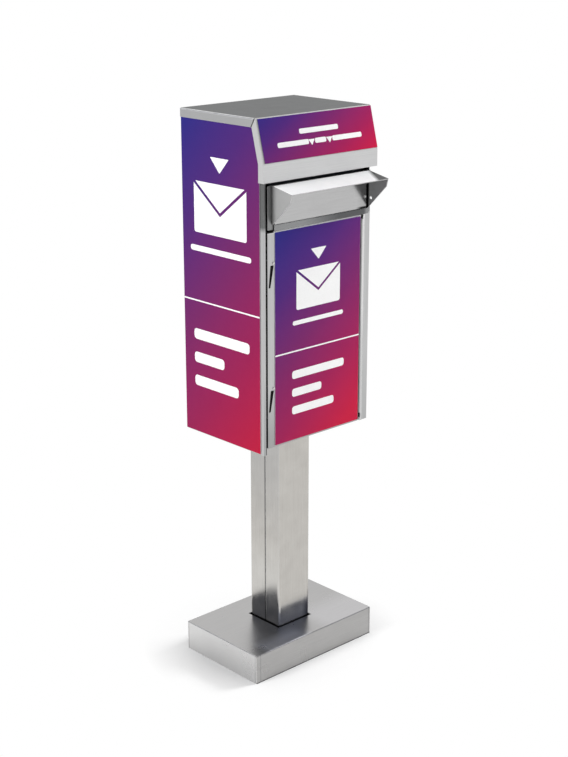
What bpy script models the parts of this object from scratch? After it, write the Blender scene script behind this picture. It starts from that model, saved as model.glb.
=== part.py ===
"""Pedestal drop box: a stainless cabinet with a hinged front door and a covered deposit slot,
on a square post made of two channels, standing on a weighted base.

Metres, +Z up. The origin is the middle of the base on the floor. The front faces -Y.
"""

import math

import bmesh
import bpy
from mathutils import Vector

MM = 0.001

# Overall
overall_height = 1321 * MM
cap_width = 350 * MM
cap_depth = 275 * MM
cabinet_height = 751 * MM
slant_height = 95 * MM
slant_set_back = 25 * MM
header_height = 41 * MM
right_overhang = 19.5 * MM      # how far the cap stands out past the right wall
toe_run = 42 * MM               # the right wall's lower front corner rises over this length

# Sheet metal
sheet = 1.9 * MM
bend_radius = 3.2 * MM          # outside radius of an open fold
pan_radius = 2.5 * MM           # outside radius where a pan is folded on several sides
bend_steps = 3
fit_gap = 0.3 * MM              # between two pieces that touch or are welded
overrun = 5 * MM                # how far a cutter runs past what it cuts
cap_lip = 20 * MM
fascia_return = 16 * MM

# Base and post
base_width = 385 * MM
base_depth = 253 * MM
base_height = 72 * MM
ballast_thickness = 25 * MM
ballast_gap = 0.6 * MM
post_size = 101.6 * MM
post_wall = 2.7 * MM
post_bend_radius = 5 * MM
post_seam = 1.6 * MM
post_seam_offset = 4 * MM       # the seam lies this far in front of the post's middle
post_hole_gap = 4.2 * MM
foot_flange_size = 190 * MM
top_flange_size = 170 * MM
flange_thickness = 8 * MM
bolt_edge = 18 * MM             # from a flange's edge to its bolts
bolt_shank_radius = 5 * MM
bolt_head_across_flats = 17 * MM
bolt_head_height = 6.5 * MM
foot_bolt_depth = 16 * MM       # how deep a foot bolt goes into the ballast

# Cabinet front
left_edge_width = 7.4 * MM
hinge_gap = 4.5 * MM
closing_gap = 2.5 * MM
stile_width = 25 * MM
door_lift = 13.5 * MM           # the door's lower edge above the left panel's lower edge
door_height = 495.5 * MM
door_depth = 16 * MM
hood_gap = 3.5 * MM             # between the door and the hood frame above it
stop_gap = 3.5 * MM             # between the door's back edge and its stops
stop_overlap = 14 * MM
jamb_stop_width = 31 * MM
jamb_depth = 28 * MM
floor_lift = 14 * MM
floor_stop_height = 16 * MM
top_rail_drop = 20 * MM
seal_height = 5 * MM
bumper_height = 10 * MM
bumper_width = 4.2 * MM
bumper_gap = 1.1 * MM           # from the door's edge
upper_bumper_drop = 5 * MM
lower_bumper_rise = 13 * MM
bumper_set_back = 0.6 * MM
strip_thickness = 1 * MM
strip_width = 7 * MM
strip_inset = 0.6 * MM

# Deposit tray and hood
slot_height = 7.3 * MM
tray_width = 298 * MM
tray_offset = 1.6 * MM          # the tray's middle, to the right of the cap's middle
tray_reach = 61 * MM
tray_drop = 11.7 * MM
tray_inside = 12 * MM
tray_back_drop = 26 * MM
cheek_front_height = 18 * MM
cheek_front_lean = 4.5 * MM
lock_hole_radius = 3.5 * MM
lock_hole_out = 9 * MM
lock_hole_rise = 23.5 * MM
hood_rail_height = 9.2 * MM
hood_panel_side_gap = 5.5 * MM
drip_rail_stand_off = 1.2 * MM
drip_rail_side_gap = 1.5 * MM
drip_rail_gap = 0.7 * MM        # above the door

# Inside the throat
head_rail_depth = 17 * MM
head_rail_height = 16 * MM
flap_rod_radius = 2 * MM
flap_bore_gap = 0.3 * MM
flap_knuckle_wall = 1.9 * MM
flap_sheet = 1.5 * MM
flap_length = 45 * MM
flap_rod_rise = 16 * MM         # the rod's middle above the head rail
flap_side_gap = 3.5 * MM
flap_bracket_thickness = 2 * MM
flap_bracket_margin = 6 * MM
rod_end = 3 * MM
baffle_front_gap = 70 * MM      # from the door stop to the baffle's front edge
baffle_drop = 42 * MM           # the baffle's back edge below the tray
baffle_fall = 62 * MM
baffle_hem = 14 * MM
baffle_side_gap = 0.6 * MM

# Door hinges
hinge_inset = 6.5 * MM
hinge_depth = 8.2 * MM
hinge_height = 70 * MM
hinge_from_top = 100 * MM
hinge_from_bottom = 110.5 * MM
knuckle_radius = 4 * MM
hinge_pin_radius = 2.5 * MM
hinge_bore_gap = 0.35 * MM
hinge_leaf = 1.6 * MM
knuckle_clearance = 0.7 * MM
door_leaf_width = 26 * MM
frame_leaf_width = 14 * MM
pin_head_radius = 3.6 * MM
pin_head_height = 2 * MM
hinge_notch_gap = 3 * MM
weld_slot_height = 50 * MM
weld_slot_lean = 7.8 * MM
weld_slot_foot_width = 5 * MM
weld_slot_head_width = 9.7 * MM
weld_slot_inset = 8.9 * MM
rivet_head_radius = 3 * MM
rivet_head_height = 1 * MM
rivet_shank_radius = 1.9 * MM
rivet_rise = 29.5 * MM
rivet_inset = 17 * MM

# Door stiffener, catch and lock
stiffener_width = 62 * MM
stiffener_crown = 34 * MM
stiffener_depth = 10 * MM
stiffener_end_gap = 14 * MM
lock_from_front = 40.3 * MM
lock_height_share = 0.5         # share of the door's height
barrel_radius = 9.5 * MM
barrel_length = 31 * MM
lock_flange_radius = 14 * MM
lock_flange_thickness = 2.5 * MM
lock_nut_across_flats = 24 * MM
lock_nut_thickness = 5 * MM
plug_radius = 6 * MM
plug_proud = 0.6 * MM
keyway_width = 1.6 * MM
keyway_height = 7 * MM
keyway_depth = 3 * MM
cam_thickness = 3 * MM
cam_half_width = 7 * MM
cam_reach = 20 * MM
cam_screw_radius = 2.5 * MM
cam_screw_depth = 7 * MM
cam_screw_head_radius = 4.5 * MM
cam_screw_head_height = 3.2 * MM
catch_thickness = 2.5 * MM
catch_clearance = 0.7 * MM
catch_height = 18 * MM
catch_foot = 20 * MM
catch_web_inset = 17.5 * MM     # from the door's right edge to the catch's web
catch_lip_inset = 4.8 * MM      # from the door's right edge to the end of the catch's lip
catch_window_gap = 8 * MM

# Printed panels
panel_thickness = 1 * MM
panel_corner = 4 * MM
side_panel_front_margin = 11.3 * MM
side_panel_edge_margin = 0.8 * MM
side_panel_bottom_margin = 1.6 * MM
door_panel_left_margin = 20 * MM
door_panel_right_margin = 3.6 * MM
door_panel_top_margin = 3.4 * MM
door_panel_bottom_margin = 4.6 * MM
header_panel_left_margin = 4.6 * MM
header_panel_right_margin = 0.8 * MM
header_panel_top_margin = 2.4 * MM
header_panel_bottom_margin = 1.2 * MM
lock_window_gap = 2.5 * MM

round_sides = 24
small_round_sides = 16

# Worked out from the sizes above
cap_left = -cap_width / 2
cap_right = cap_width / 2
cap_front = -cap_depth / 2
cap_back = cap_depth / 2
slant_top_y = cap_front + slant_set_back
slant_bottom = overall_height - slant_height
header_bottom = slant_bottom - header_height
cabinet_bottom = overall_height - cabinet_height
skin = sheet + fit_gap
body_left = cap_left + skin
body_right = cap_right - right_overhang
body_front = cap_front + skin
body_back = cap_back - skin
inner_left = body_left + skin
inner_right = body_right - skin
inner_back = body_back - skin
roof_under = overall_height - skin
soffit = header_bottom + skin     # under the right panel's step
door_left = body_left + left_edge_width + hinge_gap
stile_left = body_right - stile_width
door_right = stile_left - closing_gap
door_bottom = cabinet_bottom + door_lift
door_top = door_bottom + door_height
door_middle = door_bottom + door_height * lock_height_share
door_skin_back = body_front + skin
stop_y = body_front + door_depth + stop_gap
seal_thickness = stop_gap - 2 * fit_gap
stop_left = door_right - stop_overlap + closing_gap
floor_under = cabinet_bottom + floor_lift
floor_top = floor_under + sheet
hood_bottom = door_top + hood_gap
tray_left = tray_offset - tray_width / 2
tray_right = tray_offset + tray_width / 2
tray_top = header_bottom - slot_height
cheek_bottom = hood_bottom + hood_rail_height + fit_gap
slant_direction = Vector((slant_set_back, slant_height)).normalized()
slant_normal = Vector((-slant_direction.y, slant_direction.x))
hinge_x = door_left + hinge_inset
hinge_y = body_front + hinge_depth
hinge_centres = {"upper": door_top - hinge_from_top, "lower": door_bottom + hinge_from_bottom}
lock_y = body_front + lock_from_front
catch_bottom = door_middle + cam_half_width + catch_clearance
catch_top = catch_bottom + catch_height
post_top = floor_under - flange_thickness - 2 * fit_gap
flange_bottom = ballast_thickness + fit_gap
post_bottom = flange_bottom + flange_thickness + fit_gap
rod_y = body_front + head_rail_depth + fit_gap + flap_sheet / 2     # the flap rests on the rail's edge
rod_z = header_bottom + fit_gap + sheet + flap_rod_rise

materials = {}


def material(name, color, metallic, roughness):
    """A plain Principled material, made once for each name."""
    if name not in materials:
        made = bpy.data.materials.new(name)
        made.use_nodes = True
        shader = made.node_tree.nodes["Principled BSDF"]
        shader.inputs["Base Color"].default_value = (*color, 1)
        shader.inputs["Metallic"].default_value = metallic
        shader.inputs["Roughness"].default_value = roughness
        made.diffuse_color = (*color, 1)
        materials[name] = made
    return materials[name]


def brushed_steel():
    return material("brushed_stainless", (0.52, 0.52, 0.51), 1, 0.35)


def polished_steel():
    return material("polished_stainless", (0.72, 0.73, 0.74), 1, 0.15)


def black_steel():
    return material("black_oxide_steel", (0.015, 0.015, 0.015), 0.6, 0.5)


def zinc_steel():
    return material("zinc_plated_steel", (0.45, 0.46, 0.48), 1, 0.4)


def painted_ballast():
    return material("painted_ballast", (0.04, 0.04, 0.045), 0, 0.6)


def black_rubber():
    return material("black_rubber", (0.01, 0.01, 0.01), 0, 0.8)


def printed_panel():
    return material("printed_panel", (0.25, 0.03, 0.14), 0, 0.4)


def finish(name, shape, surface, holder=None):
    """Turns a bmesh into a named object, and hangs it on an empty when one is given."""
    bmesh.ops.recalc_face_normals(shape, faces=shape.faces)
    mesh = bpy.data.meshes.new(name)
    shape.to_mesh(mesh)
    shape.free()
    made = bpy.data.objects.new(name, mesh)
    bpy.context.collection.objects.link(made)
    if surface is not None:
        mesh.materials.append(surface)
    if holder is not None:
        made.parent = holder
        made.matrix_parent_inverse = holder.matrix_world.inverted()
    return made


def pivot(name, location):
    """An empty on a joint's axis, which carries the pieces that move with it."""
    made = bpy.data.objects.new(name, None)
    made.location = location
    bpy.context.collection.objects.link(made)
    bpy.context.view_layer.update()
    return made


def place(axis, along, across):
    """A point of an outline across an axis: X takes (y, z), Y takes (x, z), Z takes (x, y)."""
    if axis == "X":
        return (along, across[0], across[1])
    if axis == "Y":
        return (across[0], along, across[1])
    return (across[0], across[1], along)


def prism(name, outline, axis, low, high, surface=None, holder=None):
    """An outline pushed along an axis from low to high."""
    shape = bmesh.new()
    ends = []
    for along in (low, high):
        ends.append([shape.verts.new(place(axis, along, point)) for point in outline])
    shape.faces.new(ends[0])
    shape.faces.new(ends[1])
    count = len(outline)
    for index in range(count):
        follow = (index + 1) % count
        shape.faces.new((ends[0][index], ends[0][follow], ends[1][follow], ends[1][index]))
    return finish(name, shape, surface, holder)


def folded_faces(path, side, thickness, radius):
    """The two faces of a folded sheet. The path lies on one face, and side says where the steel is."""
    points = [Vector(point) for point in path]
    face = []
    back = []

    def add(point, direction):
        normal = Vector((-direction.y, direction.x)) * side
        face.append(point.copy())
        back.append(point + normal * thickness)

    add(points[0], (points[1] - points[0]).normalized())
    for index in range(1, len(points) - 1):
        before = (points[index] - points[index - 1]).normalized()
        after = (points[index + 1] - points[index]).normalized()
        turn = math.atan2(before.x * after.y - before.y * after.x, before.dot(after))
        tangent = radius * math.tan(abs(turn) / 2)
        start = points[index] - before * tangent
        centre = start + Vector((-before.y, before.x)) * math.copysign(radius, turn)
        for step in range(bend_steps + 1):
            angle = turn * step / bend_steps
            spoke = start - centre
            cos, sin = math.cos(angle), math.sin(angle)
            turned = Vector((spoke.x * cos - spoke.y * sin, spoke.x * sin + spoke.y * cos))
            heading = Vector((before.x * cos - before.y * sin, before.x * sin + before.y * cos))
            add(centre + turned, heading)
    add(points[-1], (points[-1] - points[-2]).normalized())
    return face, back


def folded(name, path, side, axis, low, high, surface, holder=None, thickness=sheet, radius=bend_radius):
    """A folded sheet: a path across an axis, with rounded bends, pushed along that axis."""
    face, back = folded_faces(path, side, thickness, radius)
    shape = bmesh.new()
    rings = []
    for along in (low, high):
        rings.append([[shape.verts.new(place(axis, along, point)) for point in line] for line in (face,
                                                                                                  back)])
    (low_face, low_back), (high_face, high_back) = rings
    last = len(face) - 1
    for index in range(last):
        follow = index + 1
        shape.faces.new((low_face[index], low_face[follow], low_back[follow], low_back[index]))
        shape.faces.new((high_face[index], high_face[follow], high_back[follow], high_back[index]))
        shape.faces.new((low_face[index], low_face[follow], high_face[follow], high_face[index]))
        shape.faces.new((low_back[index], low_back[follow], high_back[follow], high_back[index]))
    for end in (0, last):
        shape.faces.new((low_face[end], low_back[end], high_back[end], high_face[end]))
    return finish(name, shape, surface, holder)


def box(name, low, high, surface=None, holder=None):
    """A block between two corners."""
    outline = ((low[0], low[1]), (high[0], low[1]), (high[0], high[1]), (low[0], high[1]))
    return prism(name, outline, "Z", low[2], high[2], surface, holder)


def circle(centre, radius, sides=round_sides):
    return [
        (centre[0] + radius * math.cos(2 * math.pi * step / sides),
         centre[1] + radius * math.sin(2 * math.pi * step / sides))
        for step in range(sides)
    ]


def rod(name, axis, centre, radius, low, high, surface=None, holder=None, sides=round_sides):
    """A round bar along an axis."""
    return smooth(prism(name, circle(centre, radius, sides), axis, low, high, surface, holder))


def smooth(made):
    """Smooth shading on round faces, with the corners kept sharp."""
    made.data.shade_smooth()
    made.data.set_sharp_from_angle(angle=math.radians(35))
    return made


def rounded(outline, radius, steps=bend_steps):
    """An outline with each corner turned into an arc."""
    points = [Vector(point) for point in outline]
    result = []
    for index, corner in enumerate(points):
        before = (corner - points[index - 1]).normalized()
        after = (points[(index + 1) % len(points)] - corner).normalized()
        turn = math.atan2(before.x * after.y - before.y * after.x, before.dot(after))
        tangent = radius * math.tan(abs(turn) / 2)
        start = corner - before * tangent
        centre = start + Vector((-before.y, before.x)) * math.copysign(radius, turn)
        for step in range(steps + 1):
            angle = turn * step / steps
            spoke = start - centre
            cos, sin = math.cos(angle), math.sin(angle)
            point = centre + Vector((spoke.x * cos - spoke.y * sin, spoke.x * sin + spoke.y * cos))
            result.append((point.x, point.y))
    return result


def apply_boolean(target, tool, operation):
    """Cuts a tool out of the target, or joins it on. The tool is hidden as a guide."""
    step = target.modifiers.new(tool.name, "BOOLEAN")
    step.operation = operation
    step.solver = "EXACT"
    step.object = tool
    tool.hide_render = True
    tool.display_type = "WIRE"
    return target


def cut(target, tool):
    return apply_boolean(target, tool, "DIFFERENCE")


def join(target, tool):
    return apply_boolean(target, tool, "UNION")


def rounded_block(name, low, high, radius, open_side, surface=None, holder=None):
    """A block whose edges are rounded, apart from those of its open side."""
    shape = bmesh.new()
    bmesh.ops.create_cube(shape, size=1)
    low, high = Vector(low), Vector(high)
    middle = (low + high) / 2
    for vert in shape.verts:
        vert.co = Vector(vert.co[axis] * (high[axis] - low[axis]) + middle[axis] for axis in range(3))
    axis = "XYZ".index(open_side[1])
    limit = low[axis] if open_side[0] == "-" else high[axis]
    edges = [
        edge for edge in shape.edges
        if not all(math.isclose(vert.co[axis], limit, abs_tol=fit_gap) for vert in edge.verts)
    ]
    bmesh.ops.bevel(shape, geom=edges, offset=radius, segments=bend_steps, profile=0.5, affect="EDGES")
    return finish(name, shape, surface, holder)


def pan(name, low, high, open_side, surface, holder=None, thickness=sheet):
    """A tray folded from sheet, open on one side."""
    outer = rounded_block(name, low, high, pan_radius, open_side, surface, holder)
    axis = "XYZ".index(open_side[1])
    inner_low = [value + thickness for value in low]
    inner_high = [value - thickness for value in high]
    if open_side[0] == "-":
        inner_low[axis] = low[axis] - overrun
    else:
        inner_high[axis] = high[axis] + overrun
    hollow = rounded_block(name + "_hollow", inner_low, inner_high, pan_radius - thickness, open_side)
    return cut(outer, hollow)


def crossing(point_a, direction_a, point_b, direction_b):
    """Where two lines in a plane meet."""
    spread = direction_a.x * direction_b.y - direction_a.y * direction_b.x
    between = point_b - point_a
    reach = (between.x * direction_b.y - between.y * direction_b.x) / spread
    return point_a + direction_a * reach


def front_line(inset):
    """The cap's front outline moved inwards: its top, its bend and its lower end, as (y, z)."""
    vertical = Vector((0, 1))
    level = Vector((1, 0))
    slant_point = Vector((cap_front, slant_bottom)) - slant_normal * inset
    top = crossing(slant_point, slant_direction, Vector((0, overall_height)), level)
    bend = crossing(slant_point, slant_direction, Vector((cap_front + inset, 0)), vertical)
    return top, bend, Vector((cap_front + inset, header_bottom))


def front_trim(name, inset):
    """A cutter for everything in front of the cap's front outline moved inwards."""
    top, bend, _ = front_line(inset)
    above = top + slant_direction * (overrun + cap_lip)
    outline = (
        (above.x, above.y), (bend.x, bend.y), (bend.x, cabinet_bottom - overrun),
        (cap_front - tray_reach, cabinet_bottom - overrun), (cap_front - tray_reach, above.y),
    )
    return prism(name, outline, "X", cap_left - overrun, cap_right + overrun)


def mitre_line():
    """The seam between the roof's lip and the fascia's return: from the top corner to the inner one."""
    outer = Vector((slant_top_y, overall_height))
    return_edge = Vector((cap_front, slant_bottom)) - slant_normal * fascia_return
    level = Vector((1, 0))
    inner = crossing(return_edge, slant_direction, Vector((0, overall_height - cap_lip)), level)
    return outer, inner


# Base and post

def bolt(name, x, y, head_bottom, length, head_up=True):
    """A hexagon bolt, its shank hanging from its head."""
    head_radius = bolt_head_across_flats / math.sqrt(3)
    head = prism(name, circle((x, y), head_radius, 6), "Z", head_bottom, head_bottom + bolt_head_height,
                 zinc_steel())
    shank = rod(name + "_shank", "Z", (x, y), bolt_shank_radius, head_bottom - length,
                head_bottom + bolt_head_height / 2,
                sides=small_round_sides)
    return join(head, shank)


def bolt_places(size):
    reach = size / 2 - bolt_edge
    return [(x * reach, y * reach) for x, y in ((-1, -1), (1, -1), (1, 1), (-1, 1))]


def drill_bolts(target, size, low, high):
    """Clearance holes for the four bolts of a flange."""
    for number, (x, y) in enumerate(bolt_places(size), 1):
        hole = rod(f"{target.name}_hole_{number}", "Z", (x, y), bolt_shank_radius + fit_gap, low, high,
                   sides=small_round_sides)
        cut(target, hole)


def build_base():
    """The weighted base: ballast, the post's foot flange with its bolts, and the cover over them."""
    half_width, half_depth = base_width / 2, base_depth / 2
    cover = pan("base_cover", (-half_width, -half_depth, 0), (half_width, half_depth, base_height), "-Z",
                brushed_steel())
    reach = post_size / 2 + post_hole_gap
    hole = box("base_cover_post_hole", (-reach, -reach, base_height / 2),
               (reach, reach, base_height + overrun))
    cut(cover, hole)

    reach_x = half_width - sheet - ballast_gap
    reach_y = half_depth - sheet - ballast_gap
    corner = bend_radius
    outline = rounded(((-reach_x, -reach_y), (reach_x, -reach_y), (reach_x, reach_y), (-reach_x, reach_y)),
                      corner)
    ballast = prism("ballast_plate", outline, "Z", 0, ballast_thickness, painted_ballast())
    drill_bolts(ballast, foot_flange_size, ballast_thickness - foot_bolt_depth - overrun / 2,
                ballast_thickness + overrun)

    flange("foot_flange", foot_flange_size, flange_bottom)
    head_bottom = flange_bottom + flange_thickness + fit_gap
    for number, (x, y) in enumerate(bolt_places(foot_flange_size), 1):
        bolt(f"foot_bolt_{number}", x, y, head_bottom, head_bottom - ballast_thickness + foot_bolt_depth)


def flange(name, size, bottom):
    """A square plate with four bolt holes and cut corners."""
    reach = size / 2
    outline = rounded(((-reach, -reach), (reach, -reach), (reach, reach), (-reach, reach)), bolt_edge / 2)
    plate = prism(name, outline, "Z", bottom, bottom + flange_thickness, zinc_steel())
    drill_bolts(plate, size, bottom - overrun, bottom + flange_thickness + overrun)
    return plate


def build_post():
    """Two channels, edge to edge, make the square post. A flange on top carries the cabinet."""
    half = post_size / 2
    seam = -post_seam_offset
    for name, web_y, seam_y, side in (
        ("post_front_channel", -half, seam - post_seam / 2, 1),
        ("post_rear_channel", half, seam + post_seam / 2, -1),
    ):
        path = ((-half, seam_y), (-half, web_y), (half, web_y), (half, seam_y))
        smooth(folded(name, path, side, "Z", post_bottom, post_top, brushed_steel(),
                      thickness=post_wall, radius=post_bend_radius))
    flange("top_flange", top_flange_size, post_top + fit_gap)
    for number, (x, y) in enumerate(bolt_places(top_flange_size), 1):
        bolt(f"cabinet_bolt_{number}", x, y, floor_top + fit_gap, sheet + flange_thickness)


# Cabinet shell

def build_side_panels():
    """The left panel folds round to the front. The right one steps out under the cap's overhang."""
    corner = body_left + left_edge_width
    path = ((body_left, body_back), (body_left, body_front), (corner, body_front))
    left = folded("left_side_panel", path, 1, "Z", cabinet_bottom, roof_under, brushed_steel())
    cut(left, front_trim("left_side_panel_trim", skin))
    smooth(left)

    path = ((body_right, cabinet_bottom), (body_right, soffit), (cap_right - skin, soffit),
            (cap_right - skin, roof_under))
    right = folded("right_side_panel", path, 1, "Y", body_front + skin, body_back, brushed_steel())
    cut(right, front_trim("right_side_panel_trim", skin))
    front = body_front + skin
    toe = ((front - overrun, door_bottom), (front, door_bottom), (front + toe_run, cabinet_bottom),
           (front + toe_run, cabinet_bottom - overrun), (front - overrun, cabinet_bottom - overrun))
    cut(right, prism("right_side_panel_toe", toe, "X", inner_right - overrun, cap_right))
    smooth(right)
    lock_hole = rod("right_side_panel_lock_hole", "X", (lock_y, door_middle), barrel_radius + fit_gap,
                    body_right - stile_width, body_right + overrun)
    cut(right, lock_hole)


def build_back_and_floor():
    """The back panel fills the space between the sides, and the floor is folded up behind the door."""
    step_z = soffit + skin
    outer_right = cap_right - skin - skin
    outline = (
        (inner_left, cabinet_bottom), (inner_right, cabinet_bottom), (inner_right, step_z),
        (outer_right - bend_radius, step_z), (outer_right, step_z + bend_radius), (outer_right, roof_under),
        (inner_left, roof_under),
    )
    prism("back_panel", outline, "Y", body_back - sheet, body_back, brushed_steel())

    path = ((inner_back, cabinet_bottom + bend_radius), (inner_back, floor_top), (stop_y, floor_top),
            (stop_y, floor_top + floor_stop_height))
    base = folded_floor(path)
    drill_bolts(base, top_flange_size, floor_under - overrun, floor_top + overrun)


def folded_floor(path):
    back, rear_top, front_top, front_end = path
    upright = box("cabinet_floor_stop", (inner_left, stop_y, floor_under),
                  (inner_right, stop_y + sheet, front_end[1]))
    level = folded("cabinet_floor", (back, rear_top, (stop_y, floor_top)), 1, "X", inner_left, inner_right,
                   brushed_steel())
    return join(level, upright)


def build_cap():
    """The roof with its lips, and the fascia whose returns meet them in a mitre."""
    outer, inner = mitre_line()
    roof = pan("roof_cap", (cap_left, slant_top_y - overrun, overall_height - cap_lip),
               (cap_right, cap_back, overall_height), "-Z", brushed_steel())
    along = (outer - inner).normalized()
    aside = Vector((fit_gap, 0))
    high = outer + aside + along * overrun
    low = inner + aside - along * overrun
    front = slant_top_y - slant_set_back - overrun
    trim = prism("roof_cap_trim", ((low.x, low.y), (high.x, high.y), (front, high.y), (front, low.y)), "X",
                 cap_left - overrun, cap_right + overrun)
    cut(roof, trim)

    top, bend, foot = front_line(0)
    _, return_bend, return_foot = front_line(fascia_return)
    outline = ((outer.x, outer.y), (bend.x, bend.y), (foot.x, foot.y), (return_foot.x, return_foot.y),
               (return_bend.x, return_bend.y), (inner.x, inner.y))
    fascia = prism("fascia", outline, "X", cap_left, cap_right, brushed_steel())
    hollow_top, hollow_bend, hollow_foot = front_line(sheet)
    hollow_end = hollow_top + slant_direction * overrun
    behind = return_foot.x + slant_set_back + cap_lip
    hollow = prism("fascia_hollow", (
        (hollow_end.x, hollow_end.y), (hollow_bend.x, hollow_bend.y),
        (hollow_foot.x, hollow_foot.y - overrun),
        (behind, hollow_foot.y - overrun), (behind, hollow_end.y),
    ), "X", cap_left + sheet, cap_right - sheet)
    cut(fascia, hollow)


def build_door_frame():
    """What the door closes on: the hinge jamb, the closing stile, the top rail, seal and bumpers."""
    frame_top = hood_bottom - fit_gap
    back_y = stop_y + jamb_depth
    path = ((inner_left, back_y), (inner_left, stop_y), (inner_left + jamb_stop_width, stop_y))
    smooth(folded("hinge_jamb", path, 1, "Z", floor_top + fit_gap + floor_stop_height, frame_top,
                  brushed_steel()))

    path = ((body_right, body_front), (stile_left, body_front), (stile_left, stop_y), (stop_left, stop_y))
    stile = folded("closing_stile", path, -1, "Z", door_bottom, frame_top, brushed_steel())
    stile_floor_notch = box("closing_stile_floor_notch", (stop_left - overrun, stop_y - fit_gap,
                                                          door_bottom - overrun),
                            (inner_right, stop_y + sheet + overrun,
                             floor_top + floor_stop_height + fit_gap))
    cut(stile, stile_floor_notch)
    window_low = door_middle - cam_half_width
    window_high = catch_top + catch_window_gap
    cut(stile, box("closing_stile_catch_window", (stop_left - overrun, stop_y - stop_gap, window_low),
                   (stile_left - fit_gap, stop_y + sheet + overrun, window_high)))

    strip_left = stile_left + strip_inset
    strip_front = body_front - fit_gap - strip_thickness
    strip = box("closing_strip", (strip_left, strip_front, door_bottom),
                (strip_left + strip_width, body_front - fit_gap, door_top), polished_steel())

    bumper_left = door_right + bumper_gap
    bumper_right = bumper_left + bumper_width
    for level, middle in (("upper", door_top - upper_bumper_drop),
                          ("lower", door_bottom + lower_bumper_rise)):
        low = middle - bumper_height / 2
        high = middle + bumper_height / 2
        notch = box(f"closing_stile_{level}_notch", (bumper_left - overrun, body_front - overrun,
                                                     low - fit_gap),
                    (bumper_right + fit_gap, stop_y, high + fit_gap))
        cut(stile, notch)
        cut(strip, box(f"closing_strip_{level}_notch", (strip_left - overrun, strip_front - overrun,
                                                        low - fit_gap),
                       (bumper_right + fit_gap, body_front + overrun, high + fit_gap)))
        box(f"{level}_bumper", (bumper_left, body_front + bumper_set_back, low),
            (bumper_right, stop_y - fit_gap, high),
            black_rubber())
    smooth(stile)

    rail_left = inner_left + jamb_stop_width + fit_gap
    rail_right = stop_left - fit_gap
    rail_bottom = door_top - top_rail_drop + hood_gap
    rail_top = hood_bottom + fit_gap
    path = ((body_front + skin, hood_bottom + hood_rail_height), (body_front + skin, rail_top),
            (stop_y, rail_top), (stop_y, rail_bottom))
    rail = folded("top_rail", path, 1, "X", rail_left, rail_right, brushed_steel(), radius=sheet + fit_gap)
    smooth(rail)
    seal_low = door_top - sheet - seal_height / 2
    box("door_seal", (rail_left, stop_y - fit_gap - seal_thickness, seal_low),
        (rail_right, stop_y - fit_gap, seal_low + seal_height), black_rubber())


# Deposit tray and what lies behind the slot

def tray_side():
    """The cheek's outline as (y, z): the sloping top, the short front edge and the raking lower edge."""
    front = body_front - tray_reach
    inside = body_front + tray_inside
    return [
        (front, tray_top - tray_drop), (front + cheek_front_lean,
                                        tray_top - tray_drop - cheek_front_height),
        (body_front, cheek_bottom), (inside, cheek_bottom), (inside, tray_top), (body_front, tray_top),
    ]


def build_tray():
    """The deposit tray with its cheeks, and the frame, panel and drip rail that close the front round it."""
    tray = prism("deposit_tray", tray_side(), "X", tray_left, tray_right, polished_steel())
    front = body_front - tray_reach
    inside = body_front + tray_inside
    slope = math.atan2(tray_drop, tray_reach)
    under = sheet / math.cos(slope)
    reach = front - overrun
    fall = tray_drop / tray_reach * overrun
    hollow = prism("deposit_tray_hollow", [
        (reach, tray_top - tray_drop - fall - under), (body_front, tray_top - under),
        (inside - sheet, tray_top - sheet), (inside - sheet, tray_top - tray_back_drop),
        (inside + overrun, tray_top - tray_back_drop), (inside + overrun, cheek_bottom - overrun),
        (reach, cheek_bottom - overrun),
    ], "X", tray_left + sheet, tray_right - sheet)
    cut(tray, hollow)
    hole = rod("deposit_tray_lock_hole", "X", (body_front - lock_hole_out, cheek_bottom + lock_hole_rise),
               lock_hole_radius, tray_right - sheet - overrun, tray_right + overrun)
    cut(tray, hole)

    gap = fit_gap
    outline = [
        (door_left, hood_bottom), (body_right, hood_bottom), (body_right, tray_top),
        (tray_right + gap, tray_top),
        (tray_right + gap, cheek_bottom - gap), (tray_left - gap, cheek_bottom - gap),
        (tray_left - gap, tray_top),
        (door_left, tray_top),
    ]
    prism("hood_frame", outline, "Y", body_front, body_front + sheet, brushed_steel())

    side = sheet + hood_panel_side_gap
    box("hood_panel", (tray_left + side, body_front, cheek_bottom),
        (tray_right - side, body_front + sheet, tray_top - under - fit_gap), polished_steel())

    face = body_front - fit_gap - drip_rail_stand_off
    low = door_top + drip_rail_gap
    outline = [
        (body_front - fit_gap, cheek_bottom), (face - sheet, cheek_bottom), (face - sheet, low),
        (face, low),
        (face, cheek_bottom - sheet), (body_front - fit_gap, cheek_bottom - sheet),
    ]
    prism("drip_rail", outline, "X", tray_left + sheet + drip_rail_side_gap,
          tray_right - sheet - drip_rail_side_gap,
          polished_steel())


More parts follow.
